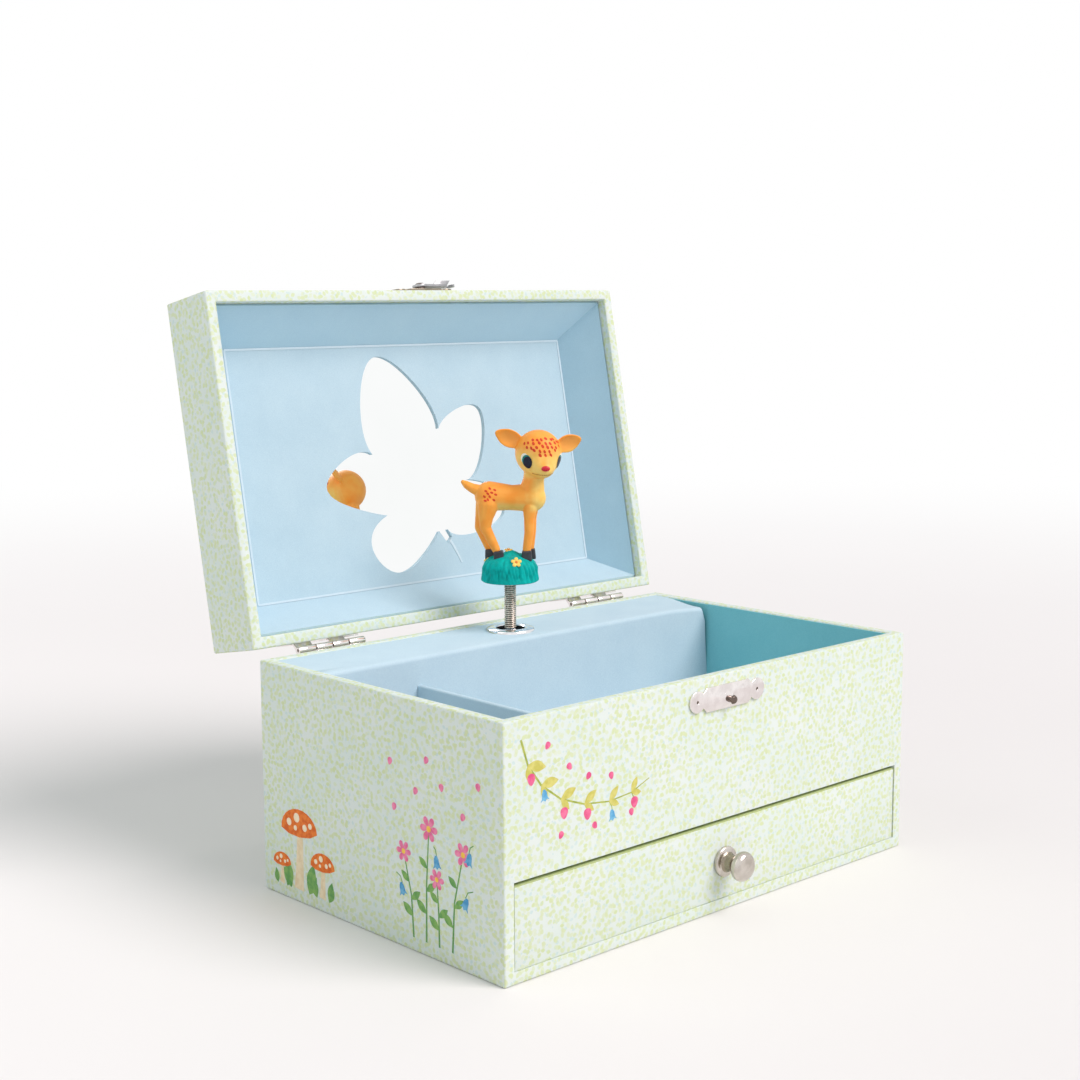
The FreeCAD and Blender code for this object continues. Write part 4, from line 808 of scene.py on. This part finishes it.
for v in grass.data.vertices:
    v.co = comb_grass(v.co / mm) * mm
bpy.ops.object.shade_smooth()
grass_paint = paint_finish("grass_paint", (0, 155, 148), (0, 181, 173), (0.55, 0.7), gloss=0.12)
dress(grass, grass_paint)
stand_on_axis(grass)
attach(grass, "figure")
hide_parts("grass_mound")


# Flowers: small blossoms of five petals, moulded in hard plastic with the mound they sit on and
# painted yellow by hand, with an orange eye.
def place_shape(at, spin, sizes):
    """Give a unit shape just added in edit mode its sizes in millimetres, its turn and its place."""
    work = bmesh.from_edit_mesh(bpy.context.edit_object.data)
    for v in work.verts:
        if v.select:
            v.co = at + spin @ Vector([c * size * mm for c, size in zip(v.co, sizes)])
    bmesh.update_edit_mesh(bpy.context.edit_object.data)


def plant_flower(name, s, d, z, way, size):
    """Petals are flat lumps round an eye, turned to look out along a direction."""
    flower = begin_clay(name)
    for i in range(5):
        a = 2 * pi * i / 5 + 0.3
        tip = (size * 0.62 * cos(a), size * 0.62 * sin(a), 0.25)
        add_lump([((0, 0, 0.05), 0.35), (tip, size * 0.36)], 10)
    bpy.ops.mesh.reveal()
    select_mesh()
    bpy.ops.transform.resize(value=(1, 1, 0.42), center_override=(0, 0, 0))
    fuse_clay(flower, 0.14, 2)
    dress(flower, petal_paint)
    eye = begin_clay(name + "_eye")
    bpy.ops.mesh.primitive_uv_sphere_add(segments=16, ring_count=8, radius=1.0)
    place_shape(Vector((0, 0, 0.22 * mm)), Matrix.Identity(3), (size * 0.26, size * 0.26, size * 0.15))
    mode("OBJECT")
    dress(eye, petal_eye_paint)
    for piece in (flower, eye):
        take(piece)
        bpy.ops.object.shade_smooth()
        piece.rotation_euler = Vector(way).to_track_quat("Z", "Y").to_euler()
        piece.location = (s * mm, d * mm, z * mm)
        settle()
        stand_on_axis(piece)
        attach(piece, "figure")


petal_paint = paint_finish("petal_paint", (240, 200, 84), (248, 216, 112), (0.4, 0.55))
petal_eye_paint = paint_finish("petal_eye_paint", (214, 112, 36), (232, 136, 48), (0.4, 0.55))
plant_flower("flower_front", 2.6, -9.4, 119.4, (0.1, -0.82, 0.56), 2.4)
plant_flower("flower_top", -0.6, 0.8, 123.0, (0.0, -0.3, 1.0), 1.9)
plant_flower("flower_left", -9.6, 2.0, 119.3, (-0.7, -0.1, 0.7), 1.8)


# Fawn: a small moulded animal of hard plastic, standing side-on with its face turned outwards.
# It is moulded in one piece with its ears and tail, and hand-painted.
HEAD = Vector((11.9, 0, 163.2))
FACE = Vector((sin(radians(16)), -cos(radians(16)), 0))
random.seed(7)


def from_head(out, up):
    spot = HEAD + FACE * out
    return (spot.x, spot.y, spot.z + up)


def add_ear(root, tip, width, thick, facing):
    """A leaf-shaped ear, hollowed on the side that faces forward."""
    root, tip = Vector(root), Vector(tip)
    along = (tip - root).normalized()
    front = (Vector(facing) - along * along.dot(Vector(facing))).normalized()
    across = along.cross(front)
    half = (tip - root).length / 2
    bpy.ops.mesh.primitive_uv_sphere_add(segments=28, ring_count=18, radius=1.0)
    work = bmesh.from_edit_mesh(bpy.context.edit_object.data)
    for v in work.verts:
        if v.select:
            a, f, c = v.co.x, v.co.y, v.co.z
            c *= 1 - (0.3 if a > 0 else 0.2) * a * a
            hollow = max(0.0, 1 - a * a - c * c)
            f = f * thick / 2 - (hollow * (thick - 0.8) if f > 0 else 0)
            v.co = ((root + tip) / 2 + along * a * half + front * f + across * c * width / 2) * mm
    bmesh.update_edit_mesh(bpy.context.edit_object.data)
    bpy.ops.mesh.hide(unselected=False)


fawn = begin_clay("fawn_skin")
add_lump([(HEAD, 9.55), (from_head(1.5, 0.9), 8.6)], 32)
add_lump([(from_head(0.7, -0.9), 9.0), (from_head(6.4, -4.7), 4.9)], 32)
add_lump([(from_head(2.0, -2.2), 7.6), (from_head(6.6, -4.9), 4.9)], 24)
add_lump([(from_head(4.5, -4.6), 5.6), (from_head(8.9, -5.9), 3.3)], 24)
add_limb([((10.9, 0.4, 158.0), 4.6), ((9.9, 0.3, 152.0), 4.3), ((8.9, 0, 145.6), 5.6)], 24)
add_limb([((9.2, 0, 144.8), 5.8), ((0.6, 0, 144.9), 5.2), ((-8.2, 0, 145.6), 6.1)], 24)
LEGS_AND_TAIL = (
    (((-8.8, -2.3, 142.6), 4.6), ((-9.7, -3.0, 137.6), 3.2),
     ((-10.0, -3.2, 133.0), 2.35), ((-5.7, -3.0, 124.0), 1.8)),
    (((-9.6, 2.3, 142.6), 4.4), ((-11.2, 2.9, 137.6), 3.0),
     ((-12.3, 3.0, 132.4), 2.2), ((-8.8, 2.8, 124.2), 1.75)),
    (((8.4, -2.4, 141.6), 3.2), ((8.0, -2.8, 136.5), 2.2),
     ((7.9, -2.8, 130.5), 2.0), ((6.95, -2.8, 123.8), 1.8)),
    (((9.2, 2.4, 141.6), 3.1), ((9.1, 2.8, 136.5), 2.1),
     ((9.0, 2.8, 130.5), 1.95), ((8.4, 2.8, 123.8), 1.75)),
    (((-11.4, 0, 147.4), 2.7), ((-15.2, 0, 148.9), 2.0),
     ((-17.4, 0, 150.2), 1.65), ((-19.1, 0, 151.5), 0.9)))
for stations in LEGS_AND_TAIL:
    add_limb(stations)
EARS = [(Vector((6.2, 0.6, 166.2)), Vector((-5.7, -2.2, 172.2))),
        (Vector((18.4, -0.4, 164.9)), Vector((29.7, 0.8, 169.0)))]
for root, tip in EARS:
    add_ear(root, tip, 7.8, 3.8, (0.1, -0.92, -0.3))
fuse_clay(fawn, 0.32, 6)

pale = fawn.data.attributes.new("pale", "FLOAT", "POINT")
inner_ear_light = fawn.data.attributes.new("inner_ear_light", "FLOAT", "POINT")
for i, v in enumerate(fawn.data.vertices):
    at = v.co / mm
    n = v.normal
    face = smooth_step(168, 160.5, at.z) * smooth_step(-0.45, 0.25, n.dot(FACE))
    face *= smooth_step(151.5, 155, at.z)
    bridge = (at - HEAD).dot(Vector((-FACE.y, FACE.x, 0))) / 2.4
    face *= 1 - 0.6 * exp(-bridge * bridge) * smooth_step(157.5, 160, at.z)
    throat = smooth_step(-0.05, 0.7, n.x * 0.85 - n.y * 0.35) * smooth_step(138.5, 141.5, at.z)
    throat *= smooth_step(157, 153.5, at.z) * smooth_step(5.5, 7.5, at.x)
    belly = smooth_step(-0.15, -0.65, n.z) * smooth_step(-7.5, -4.5, at.x) * smooth_step(137, 138.5, at.z)
    belly *= smooth_step(147, 145, at.z)
    pale.data[i].value = max(face, throat, belly)
    for root, tip in EARS:
        along = (tip - root).normalized()
        off = at - (root + tip) / 2
        run = off.dot(along)
        aside = (off - along * run).length
        reach = hypot(run / ((tip - root).length / 2), aside / 3.9)
        lining = smooth_step(0.85, 0.45, reach) * smooth_step(0.1, 0.5, -n.y)
        inner_ear_light.data[i].value = max(inner_ear_light.data[i].value, lining)
fawn_paint, tree, shader = new_finish("fawn_paint", Specular_IOR_Level=0.4)
place = object_place(tree)
cloud = noise(tree, place, 260.0, 6.0)
coat = blend_colour(tree, ramp(tree, cloud, 0.3, 0.7), (254, 158, 52), (255, 172, 70))
cream = blend_colour(tree, ramp(tree, cloud, 0.3, 0.7), (246, 196, 92), (251, 210, 116))
mask = add_node(tree, "ShaderNodeAttribute", attribute_name="pale").outputs["Fac"]
skin = blend_colour(tree, mask, coat, cream)
# The inner ears are a lighter orange, partly their own paint and partly painted light against the shade of
# the hollow.
mask = add_node(tree, "ShaderNodeAttribute", attribute_name="inner_ear_light").outputs["Fac"]
feed(shader, "Base Color", blend_colour(tree, math_node(tree, "MULTIPLY", mask, 0.8), skin, (252, 178, 84)))
feed(shader, "Roughness", ramp(tree, cloud, 0.3, 0.7, 0.42, 0.58))
grain = noise(tree, place, 1500.0, 4.0)
bump(tree, shader, grain, 0.1, 0.08)
dress(fawn, fawn_paint)


# Painted marks of the fawn: eyes with white and green rims, a red nose, a thin mouth line, and
# red-brown dabs of the brush on its forehead and haunches, each lying on the skin as a thin film.
def paint_patches(name, patches, lift, cuts, finish):
    """Thin films on the skin: each patch is a start point, a way inwards, two half sizes and a turn."""
    film = begin_clay(name)
    for start, inward, half_a, half_b, turn in patches:
        hit, at, normal, face = fawn.ray_cast(Vector(start) * mm, Vector(inward).normalized())
        if not hit:
            continue
        spin = normal.to_track_quat("Z", "Y").to_matrix() @ Matrix.Rotation(turn, 3, "Z")
        bpy.ops.mesh.primitive_circle_add(vertices=16, radius=1.0, fill_type="TRIFAN")
        if cuts:
            bpy.ops.mesh.subdivide(number_cuts=cuts)
        place_shape(at, spin, (half_a, half_b, 1))
        bpy.ops.mesh.hide(unselected=False)
    bpy.ops.mesh.reveal()
    mode("OBJECT")
    use_modifier(film, "SHRINKWRAP", target=fawn, wrap_method="NEAREST_SURFACEPOINT",
                 wrap_mode="ABOVE_SURFACE", offset=lift * mm)
    use_modifier(film, "SOLIDIFY", thickness=0.05 * mm, offset=1)
    smooth(60)
    dress(film, finish)
    return film


def toward_head(yaw, pitch):
    """A start point off the head and the way in, by angles from the face's own direction."""
    way = (Matrix.Rotation(radians(yaw), 3, "Z") @ FACE) * cos(radians(pitch))
    way.z = sin(radians(pitch))
    return HEAD + way * 30, -way


eye_white = paint_finish("eye_white", (236, 232, 214), (244, 242, 228), (0.25, 0.35))
eye_green = paint_finish("eye_green", (22, 128, 118), (34, 146, 134), (0.2, 0.3))
eye_dark = paint_finish("eye_dark", (24, 28, 44), (34, 38, 56), (0.3, 0.4), gloss=0.2)
nose_red = paint_finish("nose_red", (196, 28, 46), (214, 40, 56), (0.22, 0.35))
dab_red = paint_finish("dab_red", (206, 50, 18), (222, 72, 28), (0.6, 0.75))
mouth_brown = paint_finish("mouth_brown", (176, 112, 36), (190, 124, 44), (0.4, 0.55))
marks = []
for name, lift, out, up, half_a, half_b, finish in (
        ("eyes_white", 0.03, 9, 9, 1.9, 2.3, eye_white), ("eyes_green", 0.1, 3, 3, 2.3, 2.7, eye_green),
        ("eyes_dark", 0.17, 0, 0, 2.2, 2.65, eye_dark)):
    patches = []
    for side, yaw, pitch in ((-1, 45, -19), (1, 51, -22)):
        start, inward = toward_head(side * (yaw + out), pitch + up)
        patches.append((start, inward, half_a, half_b, side * 0.3))
    marks.append(paint_patches(name, patches, lift, 3, finish))
dabs = []
for pitch, count, span in ((38, 6, 38), (28, 9, 66), (18, 8, 52), (9, 5, 31), (1, 3, 18)):
    for i in range(count):
        yaw = -span + 2 * span * (i + 0.5) / count + random.uniform(-2.5, 2.5)
        start, inward = toward_head(yaw, pitch + random.uniform(-2.5, 2.5))
        dabs.append((start, inward, random.uniform(0.46, 0.58), random.uniform(0.7, 0.88),
                     random.uniform(0.35, 0.95)))
HAUNCH_DABS = ((-10.2, 146.0), (-9.6, 148.2), (-8.0, 149.2), (-8.8, 147.2), (-7.2, 147.6), (-8.0, 146.0),
               (-6.0, 148.6), (-5.6, 146.8), (-8.8, 144.8), (-6.4, 144.6), (-9.9, 144.4))
for side in (-1, 1):
    for i, (s, z) in enumerate(HAUNCH_DABS):
        dabs.append(((s, side * 30, z), (0, -side, 0), 0.44, 0.7, 0.9 + 0.35 * sin(i * 2.1)))
marks.append(paint_patches("brush_dabs", dabs, 0.03, 1, dab_red))
smile = []
for i in range(17):
    start, inward = toward_head(-34 + 60 * i / 16, 0)
    start.z = 155.1 + 0.5 * ((i - 8) / 8) ** 2
    smile.append((start, inward, 0.36, 0.2, 0.0))
marks.append(paint_patches("mouth_line", smile, 0.03, 0, mouth_brown))
nose = begin_clay("nose")
hit, tip, normal, face = fawn.ray_cast((HEAD + FACE * 30 + Vector((-0.6, 0, -5.4))) * mm, -FACE)
bpy.ops.mesh.primitive_uv_sphere_add(segments=28, ring_count=16, radius=1.0)
place_shape(tip, normal.to_track_quat("Z", "Y").to_matrix(), (1.8, 1.15, 0.8))
mode("OBJECT")
bpy.ops.object.shade_smooth()
dress(nose, nose_red)
marks.append(nose)


# Hooves: dark grey feet, cloven at the front. They are moulded in one with the legs, painted, and
# stand in the grass of the mound.
hoof_paint = paint_finish("hoof_paint", (46, 49, 54), (62, 65, 70), (0.4, 0.55))
HOOF = ((-1.55, 119.6, 0.55), (1.75, 119.6, 0.55), (-1.45, 122.7, 0.6), (1.35, 122.9, 0.6))
hooves = begin_clay("hooves")
for x, y in ((-4.6, -3.0), (-8.2, 2.8), (6.9, -2.8), (8.5, 2.8)):
    for split in (-1.0, 1.0):
        block = []
        for dx, z, r in HOOF:
            block += [((x + dx, y + split + off, z), r) for off in (-0.45, 0.45)]
        add_lump(block, 8)
fuse_clay(hooves, 0.22, 2)
dress(hooves, hoof_paint)
marks.append(hooves)
for piece in [fawn] + marks:
    stand_on_axis(piece)
    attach(piece, "figure")
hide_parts("fawn")


# Lid: greyboard walls and top covered with the same paper, drawn closed and then swung open
# about its hinges. The paper turns in over the rim and meets the liner inside.
LID_RIM = 90.3 * mm
LID_TOP = 119.0 * mm
HINGE = Vector((0, 72.4 * mm, 90.3 * mm))
SWING = radians(-101)


def swing_open(piece):
    """Swing a piece that was drawn on the closed lid to the lid's open place."""
    take(piece)
    piece.matrix_world = (Matrix.Translation(HINGE) @ Matrix.Rotation(SWING, 4, "X")
                          @ Matrix.Translation(-HINGE) @ piece.matrix_world)
    settle()


lid_shell = start_box("lid_shell", (-CASE_HALF.x, -CASE_HALF.y, LID_RIM),
                      (CASE_HALF.x, CASE_HALF.y, LID_TOP))
mode("EDIT")
pick(lambda at, way: way.z < -0.9)
bpy.ops.mesh.inset(thickness=BOARD)
extrude((0, 0, LID_TOP - BOARD - LID_RIM))
mode("OBJECT")
round_edges(lid_shell, CORNER, 3)
lay_paper(lid_shell)
dress(lid_shell, printed_paper)
swing_open(lid_shell)
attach(lid_shell, "lid")
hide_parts("lid_top_board", "lid_front_board", "lid_back_board", "lid_left_board",
            "lid_right_board")


# Lid liner: flocked card creased into a shallow tray, its panel die-cut with a leaf over a
# thin glass mirror. Scoring raised a fine ridge along each fold, and the leaf's stem is embossed.
panel_flock = flock_finish("panel_flock", (176, 203, 216), (191, 215, 225))
# The flaps are copies of one flock in their own shades: painted light on the front flap and painted shade
# on the side flaps.
front_flap_lit_flock = flock_finish("front_flap_lit_flock", (179, 212, 229), (191, 222, 236))
side_flap_shade_flock = flock_finish("side_flap_shade_flock", (166, 200, 217), (178, 211, 226))
# The score lines are a paler flock: a painted highlight along the ridges.
ridge_highlight_flock = flock_finish("ridge_highlight_flock", (200, 219, 229), (210, 227, 235))
for node, finish in (("lid_liner_panel", panel_flock), ("lid_flap_front", front_flap_lit_flock),
                     ("lid_flap_back", panel_flock), ("lid_flap_left", side_flap_shade_flock),
                     ("lid_flap_right", side_flap_shade_flock)):
    finish_node(node, finish)
PANEL_FACE = 111.3


def on_panel(across, up, out):
    return Vector((across, up, PANEL_FACE - out)) * mm


corners = [(-91.5, -49.5), (91.5, -49.5), (91.5, 53.0), (-91.5, 53.0)]
ridges = [stroke([corners[i - 1], corners[i]], 0.9, 0.9) for i in range(4)]
ridges.append(stroke([(10.9, 36.8), (12.6, 39.6), (14.2, 43.0), (16.0, 47.2)], 1.3, 0.8))
score_lines = raise_film("score_lines", on_panel, ridges, 16)
dress(score_lines, ridge_highlight_flock)
swing_open(score_lines)
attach(score_lines, "lid")
mirror_glass, tree, shader = new_finish("mirror_glass", Metallic=1.0)
haze = noise(tree, object_place(tree), 30.0, 3.0)
feed(shader, "Base Color", blend_colour(tree, haze, (246, 248, 247), (251, 252, 252)))
feed(shader, "Roughness", ramp(tree, haze, 0.3, 0.7, 0.0, 0.012))
finish_node("mirror", mirror_glass)


# Hinges, catch, latch and key: stamped and nickel-plated strip with round-headed nails. The stamped
# edges are slightly rounded, the latch's hook swings on its rivet to take the stud, and the key
# screws on to the movement's arbor at the back.
HINGE_MIDDLES, KNUCKLE, KNUCKLE_GAP = (-74, 74), 8, 0.3
LID_FRONT, TAB_FOOT = Vector((0, 99.48, 229.59)), 3.6
STUD_HEIGHT, STUD_NECK, STUD_SWELL = 80.5, -72.8, 1.16


def part_knuckles(at):
    """Leave a narrow gap between neighbouring knuckles, in which the pin shows."""
    for middle in HINGE_MIDDLES:
        for joint in (middle - KNUCKLE, middle, middle + KNUCKLE):
            if abs(at.x - joint) < 0.2:
                at.x += KNUCKLE_GAP if at.x > joint else -KNUCKLE_GAP


def slant_tab(at):
    """Lean the finger tab of the hook towards the hook's end."""
    out = Vector((0, -cos(SWING), -sin(SWING)))
    if (at - LID_FRONT).dot(out) > TAB_FOOT and at.x > 8:
        at.x = 11.2 + (at.x - 8.5) * 0.92


def swell_head(at):
    """Widen the stud's head past the hook's notch, clear of its finger tab."""
    if at.y < STUD_NECK:
        at.x *= STUD_SWELL
        at.z = STUD_HEIGHT + (at.z - STUD_HEIGHT) * STUD_SWELL


def soften_node(node, name, body, edge, finish, reshape=None):
    """A merged copy of a CAD node with its sharp edges rounded, standing for that node."""
    piece = copy_node(node, name)
    bpy.ops.mesh.dissolve_limited(angle_limit=radians(2))
    mode("OBJECT")
    for v in piece.data.vertices:
        at = v.co / mm
        if reshape:
            reshape(at)
        v.co = at * mm
    round_edges(piece, edge, 2)
    smooth(35)
    dress(piece, finish)
    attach(piece, body)
    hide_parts(node)


bright_plate = metal_finish("bright_plate", (228, 220, 218), (244, 238, 236), (0.07, 0.16), 0.08)
# Dark steel on the hinge pins is painted shade in the gaps between knuckles; the nails, stud and rivet take
# the same darker steel.
dark_steel = metal_finish("dark_steel", (104, 92, 86), (134, 120, 112), (0.18, 0.32), 0.2)
for node, name, body, edge, finish, reshape in (
        ("case_hinge_leaves", "hinge_leaves_case", "case", 0.12, bright_plate, part_knuckles),
        ("lid_hinge_leaves", "hinge_leaves_lid", "lid", 0.12, bright_plate, part_knuckles),
        ("hinge_pins", "hinge_pin_ends", "case", 0.08, dark_steel, None),
        ("case_nails", "nails_case", "case", 0.04, dark_steel, None),
        ("lid_nails", "nails_lid", "lid", 0.04, dark_steel, None),
        ("catch_plate", "catch_strip", "case", 0.16, bright_plate, None),
        ("catch_stud", "catch_pin", "case", 0.12, dark_steel, swell_head),
        ("latch_plate", "latch_strip", "lid", 0.16, darker_nickel, None),
        ("latch_rivet", "latch_pivot", "lid", 0.1, dark_steel, None),
        ("latch_hook", "swivel_hook", "latch_hook", 0.14, steel, slant_tab),
        ("winding_key", "key_wings", "key", 0.3, nickel_plate, None)):
    soften_node(node, name, body, edge, finish, reshape)


# Stage: a plain pale floor that fades into a white surround, one large soft lamp from the right of
# the front and a weaker one from the left, and the camera at the height and angle of the photograph.
clear_selection()
bpy.ops.mesh.primitive_plane_add(size=8, location=(0, 0, -0.1 * mm))
floor = bpy.context.object
floor.name = "floor"
floor_paint, tree, shader = new_finish("floor_paint", Roughness=0.8, Specular_IOR_Level=0.2)
place = object_place(tree)
cloud = noise(tree, place, 3.0, 2.0)
feed(shader, "Base Color", blend_colour(tree, cloud, (232, 231, 230), (236, 235, 234)))


def seen_rays(tree):
    """One for what the camera sees directly or in metal and glass, nought for light on the object."""
    path = add_node(tree, "ShaderNodeLightPath")
    return math_node(tree, "MAXIMUM", path.outputs["Is Camera Ray"], math_node(
        tree, "MAXIMUM", path.outputs["Is Glossy Ray"], path.outputs["Is Transmission Ray"]))


reach = add_node(tree, "ShaderNodeVectorMath", {0: place}, operation="LENGTH").outputs["Value"]
fade = math_node(tree, "MULTIPLY", ramp(tree, reach, 0.3, 1.6), seen_rays(tree))
white = add_node(tree, "ShaderNodeEmission", {"Color": (1, 1, 1, 1), "Strength": 1.0})
faded = add_node(tree, "ShaderNodeMixShader", {0: fade, 1: shader.outputs[0], 2: white.outputs[0]})
tree.links.new(faded.outputs[0], tree.nodes["Material Output"].inputs["Surface"])
dress(floor, floor_paint)

world = bpy.data.worlds.new("surround")
bpy.context.scene.world = world
world.use_nodes = True
tree = world.node_tree
tree.nodes.clear()
lit = add_node(tree, "ShaderNodeBackground", {"Color": (0.97, 0.985, 1.0, 1), "Strength": 0.55})
white = add_node(tree, "ShaderNodeBackground", {"Color": (1, 1, 1, 1), "Strength": 1.0})
chosen = add_node(tree, "ShaderNodeMixShader", {0: seen_rays(tree), 1: lit.outputs[0], 2: white.outputs[0]})
add_node(tree, "ShaderNodeOutputWorld", {"Surface": chosen.outputs[0]})

clear_selection()
bpy.ops.object.light_add(type="SUN", location=(0.8, -1.2, 1.2))
day = bpy.context.object
day.name = "day"
day.data.energy = 2.36
day.data.color = (1.0, 0.915, 0.92)
day.data.angle = radians(35)
day.rotation_euler = Vector((-0.27, 0.66, -0.70)).to_track_quat("-Z", "Y").to_euler()

LAMP_PLACE, LAMP_AIM = Vector((-0.6, 0.2, 0.6)), Vector((-0.1, 0.07, 0.16))
clear_selection()
bpy.ops.object.light_add(type="AREA", location=LAMP_PLACE)
lamp = bpy.context.object
lamp.name = "left_lamp"
lamp.data.size = 0.6
lamp.data.energy = 1.0
lamp.data.color = (0.92, 1.0, 0.97)
lamp.rotation_euler = (LAMP_AIM - LAMP_PLACE).to_track_quat("-Z", "Y").to_euler()

AZIMUTH, ELEVATION, ROLL = radians(-42.99), radians(7.92), radians(-0.28)
back = Vector((sin(AZIMUTH) * cos(ELEVATION), -cos(AZIMUTH) * cos(ELEVATION),
               sin(ELEVATION)))
right = (-back).cross(Vector((0, 0, 1))).normalized()
up = right.cross(-back)
level = right * cos(ROLL) + up * sin(ROLL)
upright = up * cos(ROLL) - right * sin(ROLL)
LOOK_AT, DISTANCE = Vector((0, 0, 100 * mm)), 685.7 * mm
SHIFT_LEFT, SHIFT_UP = 20.8 * mm, 31.8 * mm
eye = LOOK_AT + back * DISTANCE - level * SHIFT_LEFT + upright * SHIFT_UP
clear_selection()
bpy.ops.object.camera_add(location=eye)
camera = bpy.context.object
camera.rotation_euler = Matrix((level, upright, back)).transposed().to_euler()
SENSOR, FOCAL_SHARE = 36, 1741.9 / 1080
camera.data.sensor_width = SENSOR
camera.data.lens = FOCAL_SHARE * SENSOR
camera.data.clip_start = 0.01
bpy.context.scene.camera = camera
bpy.context.scene.view_settings.view_transform = "Standard"
